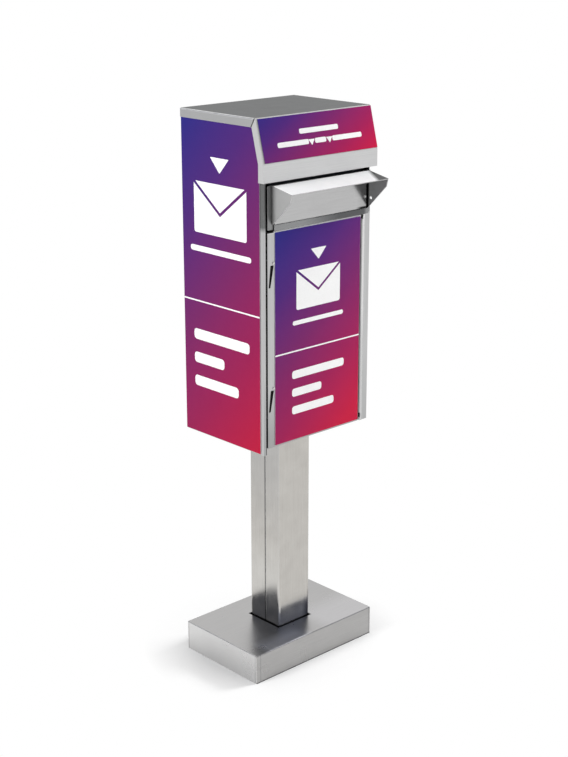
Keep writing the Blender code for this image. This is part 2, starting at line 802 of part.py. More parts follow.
def build_throat():
    """Behind the slot: the head rail, the flap on its rod, and the sloping baffle against fishing."""
    rail_low = header_bottom + fit_gap
    path = ((body_front, rail_low + head_rail_height), (body_front, rail_low),
            (body_front + head_rail_depth, rail_low))
    left = body_left + left_edge_width + fit_gap
    smooth(folded("slot_head_rail", path, 1, "X", left, inner_right, brushed_steel()))

    flap_left = tray_left + sheet + flap_side_gap
    flap_right = tray_right - sheet - flap_side_gap
    bracket_low = rail_low + sheet + fit_gap
    bracket_front = body_front + skin + bend_radius
    rod_left = flap_left - flap_side_gap / 2 - flap_bracket_thickness - rod_end
    rod_right = flap_right + flap_side_gap / 2 + flap_bracket_thickness + rod_end
    bore = flap_rod_radius + flap_bore_gap
    for name, near in (("left", flap_left - flap_side_gap / 2 - flap_bracket_thickness),
                       ("right", flap_right + flap_side_gap / 2)):
        top = rod_z + bore + flap_bracket_margin
        back = rod_y + bore + flap_bracket_margin
        outline = ((bracket_front, bracket_low), (rod_y - bore, bracket_low), (back, rod_z - bore),
                   (back, top),
                   (rod_y - bore - flap_bracket_margin, top), (bracket_front, rod_z - bore))
        bracket = prism(f"flap_bracket_{name}", outline, "X", near, near + flap_bracket_thickness,
                        zinc_steel())
        cut(bracket, rod(f"flap_bracket_{name}_bore", "X", (rod_y, rod_z), bore, near - overrun,
                         near + flap_bracket_thickness + overrun))
    rod("flap_rod", "X", (rod_y, rod_z), flap_rod_radius, rod_left, rod_right, polished_steel())

    holder = pivot("flap_axis", (0, rod_y, rod_z))
    knuckle = bore + flap_knuckle_wall
    flap = rod("slot_flap", "X", (rod_y, rod_z), knuckle, flap_left, flap_right, brushed_steel(), holder)
    blade = box("slot_flap_blade", (flap_left, rod_y - flap_sheet / 2, rod_z - flap_length),
                (flap_right, rod_y + flap_sheet / 2, rod_z - bore))
    join(flap, blade)
    cut(flap, rod("slot_flap_bore", "X", (rod_y, rod_z), bore, flap_left - overrun, flap_right + overrun))

    back_z = tray_top - baffle_drop
    edge_y = stop_y + baffle_front_gap
    path = ((inner_back, back_z), (inner_back, back_z - baffle_hem),
            (edge_y, back_z - baffle_hem - baffle_fall),
            (edge_y, back_z - baffle_hem - baffle_fall - baffle_hem))
    smooth(folded("security_baffle", path, -1, "X", inner_left + baffle_side_gap,
                  inner_right - baffle_side_gap,
                  brushed_steel()))


# Door, hinges and lock

def build_door(holder):
    """The door pan with its hinge notches and weld slots, the stiffener behind it and the catch."""
    door = pan("door_panel", (door_left, body_front, door_bottom),
               (door_right, body_front + door_depth, door_top), "+Y",
               brushed_steel(), holder)
    for level, middle in hinge_centres.items():
        reach = hinge_height / 2 + hinge_notch_gap
        cut(door, box(f"door_panel_{level}_notch", (door_left - overrun, door_skin_back, middle - reach),
                      (hinge_x, body_front + door_depth + overrun, middle + reach)))
        cut(door, weld_slot(f"door_panel_{level}_slot", middle))
        rivet_x = door_left + rivet_inset
        rivet_z = middle + rivet_rise
        cut(door, rod(f"door_panel_{level}_rivet_hole", "Y", (rivet_x, rivet_z),
                      rivet_shank_radius + fit_gap,
                      body_front - overrun, door_skin_back + fit_gap, sides=small_round_sides))

    middle_x = (door_left + door_right) / 2
    deep = door_skin_back + stiffener_depth
    path = [(middle_x + share_x, y) for share_x, y in (
        (-stiffener_width / 2, door_skin_back), (-stiffener_crown / 2, door_skin_back),
        (-stiffener_crown / 2, deep),
        (stiffener_crown / 2, deep), (stiffener_crown / 2, door_skin_back),
        (stiffener_width / 2, door_skin_back),
    )]
    smooth(folded("door_stiffener", path, 1, "Z", door_bottom + stiffener_end_gap,
                  door_top - stiffener_end_gap,
                  brushed_steel(), holder))

    web_x = door_right - catch_web_inset
    lip_y = lock_y + cam_half_width + catch_clearance + catch_thickness
    path = ((web_x - catch_foot, door_skin_back), (web_x, door_skin_back), (web_x, lip_y),
            (door_right - catch_lip_inset, lip_y))
    face, back = catch_faces(path)
    outline = [tuple(point) for point in face] + [tuple(point) for point in reversed(back)]
    prism("door_catch", outline, "Z", catch_bottom, catch_top, zinc_steel(), holder)


def catch_faces(path):
    """The catch's foot has its steel behind the door skin, and its lip has it on the lock's side."""
    foot_end, foot_bend, lip_bend, lip_end = (Vector(point) for point in path)
    thick = catch_thickness
    face = [foot_end, Vector((foot_bend.x + thick, foot_end.y)),
            Vector((foot_bend.x + thick, lip_bend.y - thick)),
            Vector((lip_end.x, lip_end.y - thick))]
    back = [Vector((foot_end.x, foot_end.y + thick)), Vector((foot_bend.x, foot_end.y + thick)), lip_bend,
            lip_end]
    return face, back


def weld_slot(name, middle):
    """The leaning slot in the door's plain margin, over the hinge leaf, wider at its head."""
    foot_x = door_left + weld_slot_inset - weld_slot_lean / 2
    head_x = foot_x + weld_slot_lean
    half_height = weld_slot_height / 2
    half_foot = weld_slot_foot_width / 2
    half_head = weld_slot_head_width / 2
    outline = rounded([
        (foot_x - half_foot, middle - half_height),
        (foot_x + half_foot, middle - half_height),
        (head_x + half_head, middle + half_height),
        (head_x - half_head, middle + half_height),
    ], half_foot / 2)
    return prism(name, outline, "Y", body_front - overrun, door_skin_back + fit_gap)


def build_hinge(level, middle, holder):
    """One butt hinge: a leaf on the door, a leaf on the jamb, their knuckles and the pin."""
    half = hinge_height / 2
    middle_half = half / 3
    bore = hinge_pin_radius + hinge_bore_gap
    clear = knuckle_radius + knuckle_clearance
    axis = (hinge_x, hinge_y)

    leaf_front = door_skin_back
    leaf_right = hinge_x + door_leaf_width
    leaf = box(f"hinge_door_leaf_{level}", (hinge_x - hinge_inset + skin, leaf_front, middle - half),
               (leaf_right, leaf_front + hinge_leaf, middle + half), black_steel(), holder)
    low, high = middle - middle_half, middle + middle_half
    join(leaf, box(f"hinge_door_leaf_{level}_arm", (hinge_x - hinge_leaf / 2, leaf_front + hinge_leaf / 2,
                                                    low),
                   (hinge_x + hinge_leaf / 2, hinge_y, high)))
    join(leaf, rod(f"hinge_door_leaf_{level}_knuckle", "Z", axis, knuckle_radius, low, high))
    cut(leaf, rod(f"hinge_door_leaf_{level}_bore", "Z", axis, bore, middle - half - overrun,
                  middle + half + overrun))
    rivet = (door_left + rivet_inset, middle + rivet_rise)
    cut(leaf, rod(f"hinge_door_leaf_{level}_rivet_hole", "Y", rivet, rivet_shank_radius + fit_gap,
                  leaf_front - fit_gap, leaf_front + hinge_leaf + overrun, sides=small_round_sides))

    plate_back = stop_y - fit_gap
    fixed = box(f"hinge_jamb_leaf_{level}", (hinge_x - hinge_leaf / 2, plate_back - hinge_leaf,
                                             middle - half),
                (hinge_x + frame_leaf_width, plate_back, middle + half), black_steel())
    join(fixed, box(f"hinge_jamb_leaf_{level}_web", (hinge_x - hinge_leaf / 2, hinge_y + clear,
                                                     middle - half),
                    (hinge_x + hinge_leaf / 2, plate_back - hinge_leaf / 2, middle + half)))
    gap = knuckle_clearance / 2
    for end, (low, high) in {"top": (middle + middle_half + gap, middle + half),
                             "bottom": (middle - half, middle - middle_half - gap)}.items():
        join(fixed, box(f"hinge_jamb_leaf_{level}_{end}_arm", (hinge_x - hinge_leaf / 2, hinge_y, low),
                        (hinge_x + hinge_leaf / 2, hinge_y + clear + overrun / 2, high)))
        join(fixed, rod(f"hinge_jamb_leaf_{level}_{end}_knuckle", "Z", axis, knuckle_radius, low, high))
    cut(fixed, rod(f"hinge_jamb_leaf_{level}_bore", "Z", axis, bore, middle - half - overrun,
                   middle + half + overrun))

    pin = rod(f"hinge_pin_{level}", "Z", axis, hinge_pin_radius, middle - half,
              middle + half + fit_gap + pin_head_height,
              polished_steel())
    join(pin, rod(f"hinge_pin_{level}_head", "Z", axis, pin_head_radius, middle + half + fit_gap,
                  middle + half + fit_gap + pin_head_height))

    head_back = body_front - fit_gap
    made = rod(f"hinge_rivet_{level}", "Y", rivet, rivet_head_radius, head_back - rivet_head_height,
               head_back,
               polished_steel(), holder, sides=small_round_sides)
    join(made, rod(f"hinge_rivet_{level}_shank", "Y", rivet, rivet_shank_radius,
                   head_back - rivet_head_height / 2,
                   leaf_front + hinge_leaf, sides=small_round_sides))


def build_lock():
    """A quarter-turn cam lock through the right wall. Its cam drops behind the door's catch."""
    centre = (lock_y, door_middle)
    outside = body_right + fit_gap
    barrel_end = outside - barrel_length
    face = outside + lock_flange_thickness
    housing = rod("lock_housing", "X", centre, barrel_radius, barrel_end, face, polished_steel())
    join(housing, rod("lock_housing_flange", "X", centre, lock_flange_radius, outside, face))
    cut(housing, rod("lock_housing_bore", "X", centre, plug_radius + fit_gap, barrel_end - overrun,
                     face + overrun))

    nut_high = body_right - sheet - fit_gap
    nut = prism("lock_nut", circle(centre, lock_nut_across_flats / math.sqrt(3), 6), "X",
                nut_high - lock_nut_thickness,
                nut_high, zinc_steel())
    cut(nut, rod("lock_nut_bore", "X", centre, barrel_radius + fit_gap,
                 nut_high - lock_nut_thickness - overrun,
                 nut_high + overrun))

    holder = pivot("lock_axis", (0, lock_y, door_middle))
    plug = rod("lock_plug", "X", centre, plug_radius, barrel_end, face + plug_proud, polished_steel(),
               holder)
    cut(plug, box("lock_plug_keyway", (face + plug_proud - keyway_depth, lock_y - keyway_width / 2,
                                       door_middle - keyway_height / 2),
                  (face + plug_proud + overrun, lock_y + keyway_width / 2,
                   door_middle + keyway_height / 2)))
    cut(plug, rod("lock_plug_thread", "X", centre, cam_screw_radius + fit_gap, barrel_end - overrun,
                  barrel_end + cam_screw_depth + fit_gap, sides=small_round_sides))

    cam_high = barrel_end - fit_gap
    cam_low = cam_high - cam_thickness
    tip = cam_reach - cam_half_width
    outline = []
    for step in range(small_round_sides + 1):
        angle = math.pi / 2 + math.pi * step / small_round_sides
        outline.append((lock_y - tip + cam_half_width * math.cos(angle),
                        door_middle + cam_half_width * math.sin(angle)))
    for step in range(small_round_sides + 1):
        angle = -math.pi / 2 + math.pi * step / small_round_sides
        outline.append((lock_y + cam_half_width * math.cos(angle),
                        door_middle + cam_half_width * math.sin(angle)))
    cam = smooth(prism("lock_cam", outline, "X", cam_low, cam_high, zinc_steel(), holder))
    cut(cam, rod("lock_cam_hole", "X", centre, cam_screw_radius + fit_gap, cam_low - overrun,
                 cam_high + overrun,
                 sides=small_round_sides))
    head_high = cam_low - fit_gap
    screw = rod("cam_screw", "X", centre, cam_screw_radius, head_high - cam_screw_head_height / 2,
                barrel_end + cam_screw_depth, zinc_steel(), holder, sides=small_round_sides)
    join(screw, rod("cam_screw_head", "X", centre, cam_screw_head_radius, head_high - cam_screw_head_height,
                    head_high))


# Printed panels

def build_printed_panels(door_holder):
    """Thin printed boards on the sides, the door and the slanted fascia."""
    back = body_back - side_panel_edge_margin
    front = body_front + side_panel_front_margin
    low = cabinet_bottom + side_panel_bottom_margin
    _, return_bend, _ = front_line(fascia_return + fit_gap)
    _, corner = mitre_line()
    high = overall_height - cap_lip - fit_gap
    beside = Vector((return_bend.x, return_bend.y))
    upper = crossing(beside, slant_direction, Vector((0, high)), Vector((1, 0)))
    step_z = header_bottom - fit_gap
    outline = [(back, low), (back, high)]
    outline += corner_arc((back, high), (upper.x + fit_gap, high), (return_bend.x, return_bend.y),
                          panel_corner)
    outline += [(return_bend.x, return_bend.y), (return_bend.x, step_z), (front, step_z), (front, low)]
    prism("left_printed_panel", outline, "X", body_left - fit_gap - panel_thickness, body_left - fit_gap,
          printed_panel())

    high = step_z - right_overhang
    toe_y = body_front + skin + toe_run
    outline = rounded(((front, door_bottom + side_panel_bottom_margin), (toe_y, low), (back, low),
                       (back, high),
                       (front, high)), panel_corner)
    right = prism("right_printed_panel", outline, "X", body_right + fit_gap,
                  body_right + fit_gap + panel_thickness,
                  printed_panel())
    cut(right, rod("right_printed_panel_window", "X", (lock_y, door_middle),
                   lock_flange_radius + lock_window_gap,
                   body_right - overrun, body_right + overrun))

    left_x = door_left + door_panel_left_margin
    right_x = door_right - door_panel_right_margin
    low = door_bottom + door_panel_bottom_margin
    high = door_top - door_panel_top_margin
    outline = rounded(((left_x, low), (right_x, low), (right_x, high), (left_x, high)), panel_corner / 2)
    face = body_front - fit_gap
    prism("door_printed_panel", outline, "Y", face - panel_thickness, face, printed_panel(), door_holder)

    _, bend, _ = front_line(0)
    near = Vector((bend.x, bend.y)) + slant_direction * header_panel_bottom_margin + slant_normal * fit_gap
    length = math.hypot(slant_set_back, slant_height) - header_panel_bottom_margin - header_panel_top_margin
    far = near + slant_direction * length
    thick = slant_normal * panel_thickness
    outline = [(near.x, near.y), (far.x, far.y), (far.x + thick.x, far.y + thick.y),
               (near.x + thick.x, near.y + thick.y)]
    prism("header_printed_panel", outline, "X", cap_left + header_panel_left_margin,
          cap_right - header_panel_right_margin, printed_panel())


def corner_arc(before, corner, after, radius):
    """The points of one rounded corner of an outline."""
    arc = rounded([before, corner, after], radius)
    steps = bend_steps + 1
    return arc[steps:2 * steps]


def main():
    for old in list(bpy.data.objects):
        bpy.data.objects.remove(old, do_unlink=True)
    build_base()
    build_post()
    build_side_panels()
    build_back_and_floor()
    build_cap()
    build_door_frame()
    build_tray()
    build_throat()
    door_holder = pivot("door_axis", (hinge_x, hinge_y, 0))
    build_door(door_holder)
    for level, middle in hinge_centres.items():
        build_hinge(level, middle, door_holder)
    build_lock()
    build_printed_panels(door_holder)


main()
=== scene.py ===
import math

import bpy
from mathutils import Matrix, Vector


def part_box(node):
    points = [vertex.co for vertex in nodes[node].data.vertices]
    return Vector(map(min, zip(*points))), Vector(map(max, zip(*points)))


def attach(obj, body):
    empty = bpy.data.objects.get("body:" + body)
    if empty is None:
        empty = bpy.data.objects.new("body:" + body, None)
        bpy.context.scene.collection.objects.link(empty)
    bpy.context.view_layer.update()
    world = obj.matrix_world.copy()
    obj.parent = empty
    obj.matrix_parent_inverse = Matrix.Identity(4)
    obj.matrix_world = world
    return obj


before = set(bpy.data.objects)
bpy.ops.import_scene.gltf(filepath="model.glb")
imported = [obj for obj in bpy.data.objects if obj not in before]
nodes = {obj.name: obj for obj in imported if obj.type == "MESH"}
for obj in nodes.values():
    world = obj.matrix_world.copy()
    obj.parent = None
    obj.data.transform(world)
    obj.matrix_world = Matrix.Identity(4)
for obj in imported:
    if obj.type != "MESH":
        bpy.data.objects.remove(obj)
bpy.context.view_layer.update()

mm = 0.001
print("frame loaded:", len(nodes), "nodes")


def hexColour(text):  # sRGB hex to the linear values that a shader takes
    channels = []
    for start in (0, 2, 4):
        value = int(text[start:start + 2], 16) / 255
        channels.append(value / 12.92 if value <= 0.04045 else ((value + 0.055) / 1.055) ** 2.4)
    return (*channels, 1)


def addNode(tree, kind, inputs=(), **settings):  # one node, its settings, and its inputs as values or links
    node = tree.nodes.new(kind)
    for name, value in settings.items():
        setattr(node, name, value)
    for key, value in dict(inputs).items():
        if isinstance(value, bpy.types.NodeSocket):
            tree.links.new(value, node.inputs[key])
        else:
            node.inputs[key].default_value = value
    return node


def newMaterial(name):
    material = bpy.data.materials.new(name)
    material.use_nodes = True
    tree = material.node_tree
    return material, tree, tree.nodes["Principled BSDF"]


def setRamp(ramp, stops):  # stops are (place, hex)
    elements = ramp.color_ramp.elements
    while len(elements) < len(stops):
        elements.new(0.5)
    for element, (place, colour) in zip(elements, stops):
        element.position = place
        element.color = hexColour(colour)


cameraView = {
    "place": (-2.270696, -2.439116, 1.735822),
    "turn": (90 - 17.512, 0, -43.128),
    "focalPixels": 1480.775,    # worked out from the object's own corners
    "imageWidth": 568,
    "sensor": 36,
    "farthest": 200,            # far enough for the whole floor
}
cameraData = bpy.data.cameras.new("camera")
cameraData.sensor_fit = "HORIZONTAL"
cameraData.sensor_width = cameraView["sensor"]
cameraData.lens = cameraView["focalPixels"] / cameraView["imageWidth"] * cameraView["sensor"]
cameraData.clip_end = cameraView["farthest"]
camera = bpy.data.objects.new("camera", cameraData)
camera.location = cameraView["place"]
camera.rotation_euler = [math.radians(angle) for angle in cameraView["turn"]]
bpy.context.scene.collection.objects.link(camera)
bpy.context.scene.camera = camera
bpy.context.scene.view_settings.view_transform = "Standard"

studio = {
    "ambient": 0.46,            # what the walls and ceiling add on matt surfaces
    "backdrop": (0.68, 0.73, 0),    # where the white backdrop stands, behind the object
    "backdropEdge": (0.1, 0.5),     # how far round it reaches, as the cosine of the angle from its middle
    "farFloor": "6E7074",       # what metal shows of the backdrop just over the floor
    "ceiling": "FFFFFF",
    "ceilingRise": (0.1, 0.32),     # height of the direction where the far floor turns into the ceiling
    "room": "595E6C",           # what metal shows of the unlit room at both sides of the camera
    "overhead": "D8D8D8",       # what metal shows of the ceiling over the unlit room
    "overheadRise": (0.6, 0.85),    # height of the direction where the room turns into that ceiling
    "white": "FFFFFF",
    "floorColour": "E6E6E6",    # the paint that throws light back at the object
    "floorShown": "F0F0F0",     # the same paint where the camera or metal sees it
    "floorSize": 160,
    "floorDrop": 0.2 * mm,      # the floor lies this far under the base
    "floorFade": (0.205, 0.34),     # distances over which the painted floor runs out into the white
    "lamps": (
        {"name": "rightLamp", "place": (2.6, -1.1, 2.3), "aim": (0, 0, 0.4), "size": 1.0, "power": 98},
        {"name": "leftLamp", "place": (-2.6, 0.3, 2.2), "aim": (0, 0, 0.4), "size": 1.2, "power": 50},
    ),
}
plainWhite = hexColour(studio["white"])

world = bpy.data.worlds.new("studioWorld")
world.use_nodes = True
bpy.context.scene.world = world
tree = world.node_tree
tree.nodes.clear()
direction = addNode(tree, "ShaderNodeTexCoord").outputs["Object"]
height = addNode(tree, "ShaderNodeSeparateXYZ", {0: direction}).outputs["Z"]
start, full = studio["ceilingRise"]
rise = addNode(tree, "ShaderNodeMapRange", {"Value": height, "From Min": start, "From Max": full},
               interpolation_type="SMOOTHSTEP").outputs[0]
walls = addNode(tree, "ShaderNodeMix", {0: rise, 6: hexColour(studio["farFloor"]),
                                        7: hexColour(studio["ceiling"])}, data_type="RGBA").outputs[2]
behind = addNode(tree, "ShaderNodeVectorMath", {0: direction, 1: studio["backdrop"]},
                 operation="DOT_PRODUCT").outputs["Value"]
start, full = studio["backdropEdge"]
behind = addNode(tree, "ShaderNodeMapRange", {"Value": behind, "From Min": start, "From Max": full},
                 interpolation_type="SMOOTHSTEP").outputs[0]
start, full = studio["overheadRise"]
over = addNode(tree, "ShaderNodeMapRange", {"Value": height, "From Min": start, "From Max": full}).outputs[0]
room = addNode(tree, "ShaderNodeMix", {0: over, 6: hexColour(studio["room"]),
                                       7: hexColour(studio["overhead"])}, data_type="RGBA").outputs[2]
walls = addNode(tree, "ShaderNodeMix", {0: behind, 6: room, 7: walls}, data_type="RGBA").outputs[2]
rays = addNode(tree, "ShaderNodeLightPath").outputs
mirrorRays = addNode(tree, "ShaderNodeMath", {0: rays["Is Glossy Ray"], 1: rays["Is Transmission Ray"]},
                     operation="MAXIMUM").outputs[0]
ambient = addNode(tree, "ShaderNodeBackground", {"Color": plainWhite,
                                                 "Strength": studio["ambient"]}).outputs[0]
shown = addNode(tree, "ShaderNodeBackground", {"Color": plainWhite, "Strength": 1}).outputs[0]
mirrored = addNode(tree, "ShaderNodeBackground", {"Color": walls, "Strength": 1}).outputs[0]
direct = addNode(tree, "ShaderNodeMixShader", {0: rays["Is Camera Ray"], 1: ambient, 2: shown}).outputs[0]
surround = addNode(tree, "ShaderNodeMixShader", {0: mirrorRays, 1: direct, 2: mirrored}).outputs[0]
addNode(tree, "ShaderNodeOutputWorld", {"Surface": surround})

for lamp in studio["lamps"]:
    data = bpy.data.lights.new(lamp["name"], "AREA")
    data.shape = "DISK"
    data.size = lamp["size"]
    data.energy = lamp["power"]
    light = bpy.data.objects.new(lamp["name"], data)
    light.location = lamp["place"]
    light.rotation_euler = (Vector(lamp["aim"]) - Vector(lamp["place"])).to_track_quat("-Z", "Y").to_euler()
    light.visible_glossy = False
    bpy.context.scene.collection.objects.link(light)

bpy.ops.object.select_all(action="DESELECT")
bpy.ops.mesh.primitive_plane_add(size=studio["floorSize"], location=(0, 0, -studio["floorDrop"]))
floor = bpy.context.active_object
floor.name = "studioFloor"
# matt white paint, which runs out into the white of the backdrop where it is seen
floorPaint, tree, shader = newMaterial("mattFloorPaint")
shader.inputs["Roughness"].default_value = 0.9
shader.inputs["Specular IOR Level"].default_value = 0
rays = addNode(tree, "ShaderNodeLightPath").outputs
seen = addNode(tree, "ShaderNodeMath", {0: rays["Is Camera Ray"], 1: rays["Is Glossy Ray"]},
               operation="MAXIMUM").outputs[0]
seen = addNode(tree, "ShaderNodeMath", {0: seen, 1: rays["Is Transmission Ray"]},
               operation="MAXIMUM").outputs[0]
paint = addNode(tree, "ShaderNodeMix", {0: seen, 6: hexColour(studio["floorColour"]),
                                        7: hexColour(studio["floorShown"])}, data_type="RGBA").outputs[2]
tree.links.new(paint, shader.inputs["Base Color"])
place = addNode(tree, "ShaderNodeTexCoord").outputs["Object"]
away = addNode(tree, "ShaderNodeVectorMath", {0: place}, operation="LENGTH").outputs["Value"]
start, full = studio["floorFade"]
away = addNode(tree, "ShaderNodeMapRange", {"Value": away, "From Min": start, "From Max": full}).outputs[0]
away = addNode(tree, "ShaderNodeMath", {0: away, 1: seen}, operation="MULTIPLY").outputs[0]
glow = addNode(tree, "ShaderNodeEmission", {"Color": plainWhite, "Strength": 1}).outputs[0]
surface = addNode(tree, "ShaderNodeMixShader", {0: away, 1: shader.outputs[0], 2: glow}).outputs[0]
tree.links.new(surface, tree.nodes["Material Output"].inputs["Surface"])
floor.data.materials.append(floorPaint)
print("studio ready")

leftward, rightward, upward = (-1, 0, 0), (1, 0, 0), (0, 0, 1)
frontward, backward = (0, -1, 0), (0, 1, 0)
noiseRange = (0.35, 0.65)       # nearly all of a noise texture's values lie in here
cloudRange = (0.3, 0.7)         # a wider range, which keeps clouds and gloss soft
brighteningRange = (0.995, 0.85)       # how far an edge turns the normal, as a cosine, from plain to fully brightened by wear and painted highlight
facingLimit = 0.5               # cosine of the angle within which a face counts as looking some way


def facing(tree, coordinates, face, limit=facingLimit):  # 1 on the faces that look this way, 0 on the others
    side = addNode(tree, "ShaderNodeVectorMath", {0: coordinates["Normal"], 1: face},
                   operation="DOT_PRODUCT").outputs["Value"]
    return addNode(tree, "ShaderNodeMath", {0: side, 1: limit}, operation="GREATER_THAN").outputs[0]


def wornAndHighlitEdges(tree, colour, look):  # edges painted brighter, part wear and part painted highlight, with the rounded normal that catches the light
    softened = addNode(tree, "ShaderNodeBevel", {"Radius": look["edgeRadius"]}, samples=4).outputs["Normal"]
    straight = addNode(tree, "ShaderNodeNewGeometry").outputs["True Normal"]
    turned = addNode(tree, "ShaderNodeVectorMath", {0: softened, 1: straight},
                     operation="DOT_PRODUCT").outputs["Value"]
    edgeBrightening = addNode(tree, "ShaderNodeMapRange", {"Value": turned, "From Min": brighteningRange[0],
                                                "From Max": brighteningRange[1],
                                                "To Max": look["edgeWearAndHighlight"]}).outputs[0]
    brightened = addNode(tree, "ShaderNodeMix", {0: edgeBrightening, 6: colour, 7: hexColour(look["edge"])},
                   data_type="RGBA").outputs[2]
    return brightened, softened


# the end of every material: its colour, a roughness that follows one pattern and a relief from another
def addSurface(tree, shader, look, colour, sheen, relief, under=None):
    low, high = look["glossRange"]
    gloss = addNode(tree, "ShaderNodeMapRange", {"Value": sheen, "From Min": low, "From Max": high,
                                                 "To Min": look["roughness"] - look["roughnessSpread"],
                                                 "To Max": look["roughness"] + look["roughnessSpread"]})
    bump = addNode(tree, "ShaderNodeBump", {"Strength": look["bump"], "Distance": look["bumpDepth"],
                                            "Height": relief})
    if under:  # the rounded normal that the relief lies on
        tree.links.new(under, bump.inputs["Normal"])
    tree.links.new(colour, shader.inputs["Base Color"])
    tree.links.new(gloss.outputs[0], shader.inputs["Roughness"])
    tree.links.new(bump.outputs["Normal"], shader.inputs["Normal"])


# stainless sheet, brushed with a belt: fine parallel grain, cloudy sheen, bright edges that are part wear and
# part painted highlight
def brushedSteel(look):
    material, tree, shader = newMaterial(look["name"])
    coordinates = addNode(tree, "ShaderNodeTexCoord").outputs
    place = coordinates["Object"]
    scale = [1 / look["grainWidth"]] * 3
    scale["XYZ".index(look["grainAxis"])] = 1 / look["grainLength"]
    drawnOut = addNode(tree, "ShaderNodeMapping", {"Vector": place, "Scale": scale}).outputs["Vector"]
    grain = addNode(tree, "ShaderNodeTexNoise", {"Vector": drawnOut, "Scale": 1, "Detail": 3,
                                                 "Roughness": 0.6}).outputs[0]
    cloud = addNode(tree, "ShaderNodeTexNoise", {"Vector": place, "Scale": 1 / look["cloudSize"],
                                                 "Detail": 2}).outputs[0]
    share = look["cloudShare"]
    both = addNode(tree, "ShaderNodeMath", {0: cloud, 1: share, 2: grain},
                   operation="MULTIPLY_ADD").outputs[0]
    low, high = (noiseRange[end] + cloudRange[end] * share for end in (0, 1))
    level = addNode(tree, "ShaderNodeMapRange", {"Value": both, "From Min": low, "From Max": high}).outputs[0]
    sheet = addNode(tree, "ShaderNodeValToRGB", {0: level})
    setRamp(sheet, ((0, look["dark"]), (1, look["light"])))
    colour = sheet.outputs["Color"]
    for area in look["patches"]:
        mask = facing(tree, coordinates, area["face"], area["limit"]) if area["face"] else 1
        for along, start, full in area["stretches"]:
            spot = addNode(tree, "ShaderNodeVectorMath", {0: place, 1: along},
                           operation="DOT_PRODUCT").outputs["Value"]
            stretch = addNode(tree, "ShaderNodeMapRange", {"Value": spot, "From Min": start,
                                                           "From Max": full}).outputs[0]
            mask = addNode(tree, "ShaderNodeMath", {0: stretch, 1: mask}, operation="MULTIPLY").outputs[0]
        shade = addNode(tree, "ShaderNodeValToRGB", {0: level})
        setRamp(shade, ((0, area["dark"]), (1, area["light"])))
        colour = addNode(tree, "ShaderNodeMix", {0: mask, 6: colour, 7: shade.outputs["Color"]},
                         data_type="RGBA").outputs[2]
    colour, softened = wornAndHighlitEdges(tree, colour, look)
    for axis, at, face in look["seams"]:  # the dark line of a lap between two folded edges
        spot = addNode(tree, "ShaderNodeSeparateXYZ", {0: place}).outputs[axis]
        away = addNode(tree, "ShaderNodeMath", {0: spot, 1: at}, operation="SUBTRACT").outputs[0]
        away = addNode(tree, "ShaderNodeMath", {0: away}, operation="ABSOLUTE").outputs[0]
        line = addNode(tree, "ShaderNodeMapRange", {"Value": away, "From Min": look["seamWidth"],
                                                    "From Max": look["seamWidth"] / look["seamSoftness"],
                                                    "To Max": look["seamDepth"]}).outputs[0]
        line = addNode(tree, "ShaderNodeMath", {0: line, 1: facing(tree, coordinates, face)},
                       operation="MULTIPLY").outputs[0]
        colour = addNode(tree, "ShaderNodeMix", {0: line, 6: colour, 7: hexColour(look["seamColour"])},
                         data_type="RGBA").outputs[2]
    addSurface(tree, shader, look, colour, cloud, grain, softened)
    shader.inputs["Metallic"].default_value = 1
    if look["frostedFaces"]:  # faces that lean these ways are blasted matt
        frosted = 0
        for face, limit in look["frostedFaces"]:
            frosted = addNode(tree, "ShaderNodeMath", {0: facing(tree, coordinates, face, limit), 1: frosted},
                              operation="MAXIMUM").outputs[0]
        bare = addNode(tree, "ShaderNodeMath", {0: 1, 1: frosted}, operation="SUBTRACT").outputs[0]
        tree.links.new(bare, shader.inputs["Metallic"])
        shader.inputs["Specular IOR Level"].default_value = 0.1
    return material


# A patch is a face of a piece, or a stretch of one, painted darker or brighter than the rest: mostly painted
# shade, light or reflection, a few dark joints.
# A stretch gives a direction, the distance along it where the patch begins and the one where it shows in
# full.
def patch(dark, light, *stretches, face=None, limit=facingLimit):
    return {"dark": dark, "light": light, "stretches": stretches, "face": face, "limit": limit}


cabinetLook = {
    "name": "brushedStainlessCabinet",
    "grainAxis": "Z",
    "grainWidth": 0.9 * mm,     # the real grit leaves 0.1 mm lines, drawn coarser so that they show
    "grainLength": 90 * mm,
    "cloudSize": 60 * mm,
    "cloudShare": 0.5,
    "dark": "BDBEBE",
    "light": "CCCCCC",
    "edge": "E8E8E8",
    "edgeRadius": 0.8 * mm,
    "edgeWearAndHighlight": 0.7,
    "roughness": 0.32,
    "roughnessSpread": 0.04,
    "glossRange": cloudRange,
    "bump": 0.25,
    "bumpDepth": 0.05 * mm,
    "frostedFaces": (),         # ways a matt face looks, each with the cosine of the angle that it may be off
    "seams": (),                # each with its axis, its place along it and the way its face looks
    "seamDepth": 0.8,
    "seamSoftness": 3,          # a seam's whole width over that of its darkest middle
    "patches": (
        # painted shade: the stile is darker low down
        patch("B0B1B1", "BDBDBD", (upward, 760 * mm, 600 * mm), face=frontward),
    ),
}
leftSideLook = dict(
    cabinetLook, name="brushedStainlessLeftSide", patches=(
        # painted shade: its front edge is dark beside the tray, standing in for the tray's shadow and
        # reflection, and plain again above
        patch("6C6D6D", "787979", (upward, 1078 * mm, 1090 * mm), (upward, 1188 * mm, 1184 * mm),
              (frontward, 118 * mm, 124 * mm)),
        patch("B4B5B5", "C2C2C2", (upward, 1183 * mm, 1186 * mm), face=frontward),
        # painted shade: darker low down, as on the stile
        patch("A2A3A3", "AFB0B0", (upward, 760 * mm, 600 * mm), face=frontward),
        # painted shade in the gap beside the door
        patch("141415", "1A1A1B", (rightward, -167.6 * mm, -167 * mm), face=frontward),
    ))
mitreAcross = (0, 0.871, 0.491)     # square to the mitre between roof and fascia, seen from the side
mitreLine = (mitreAcross, 554 * mm, 552.6 * mm)
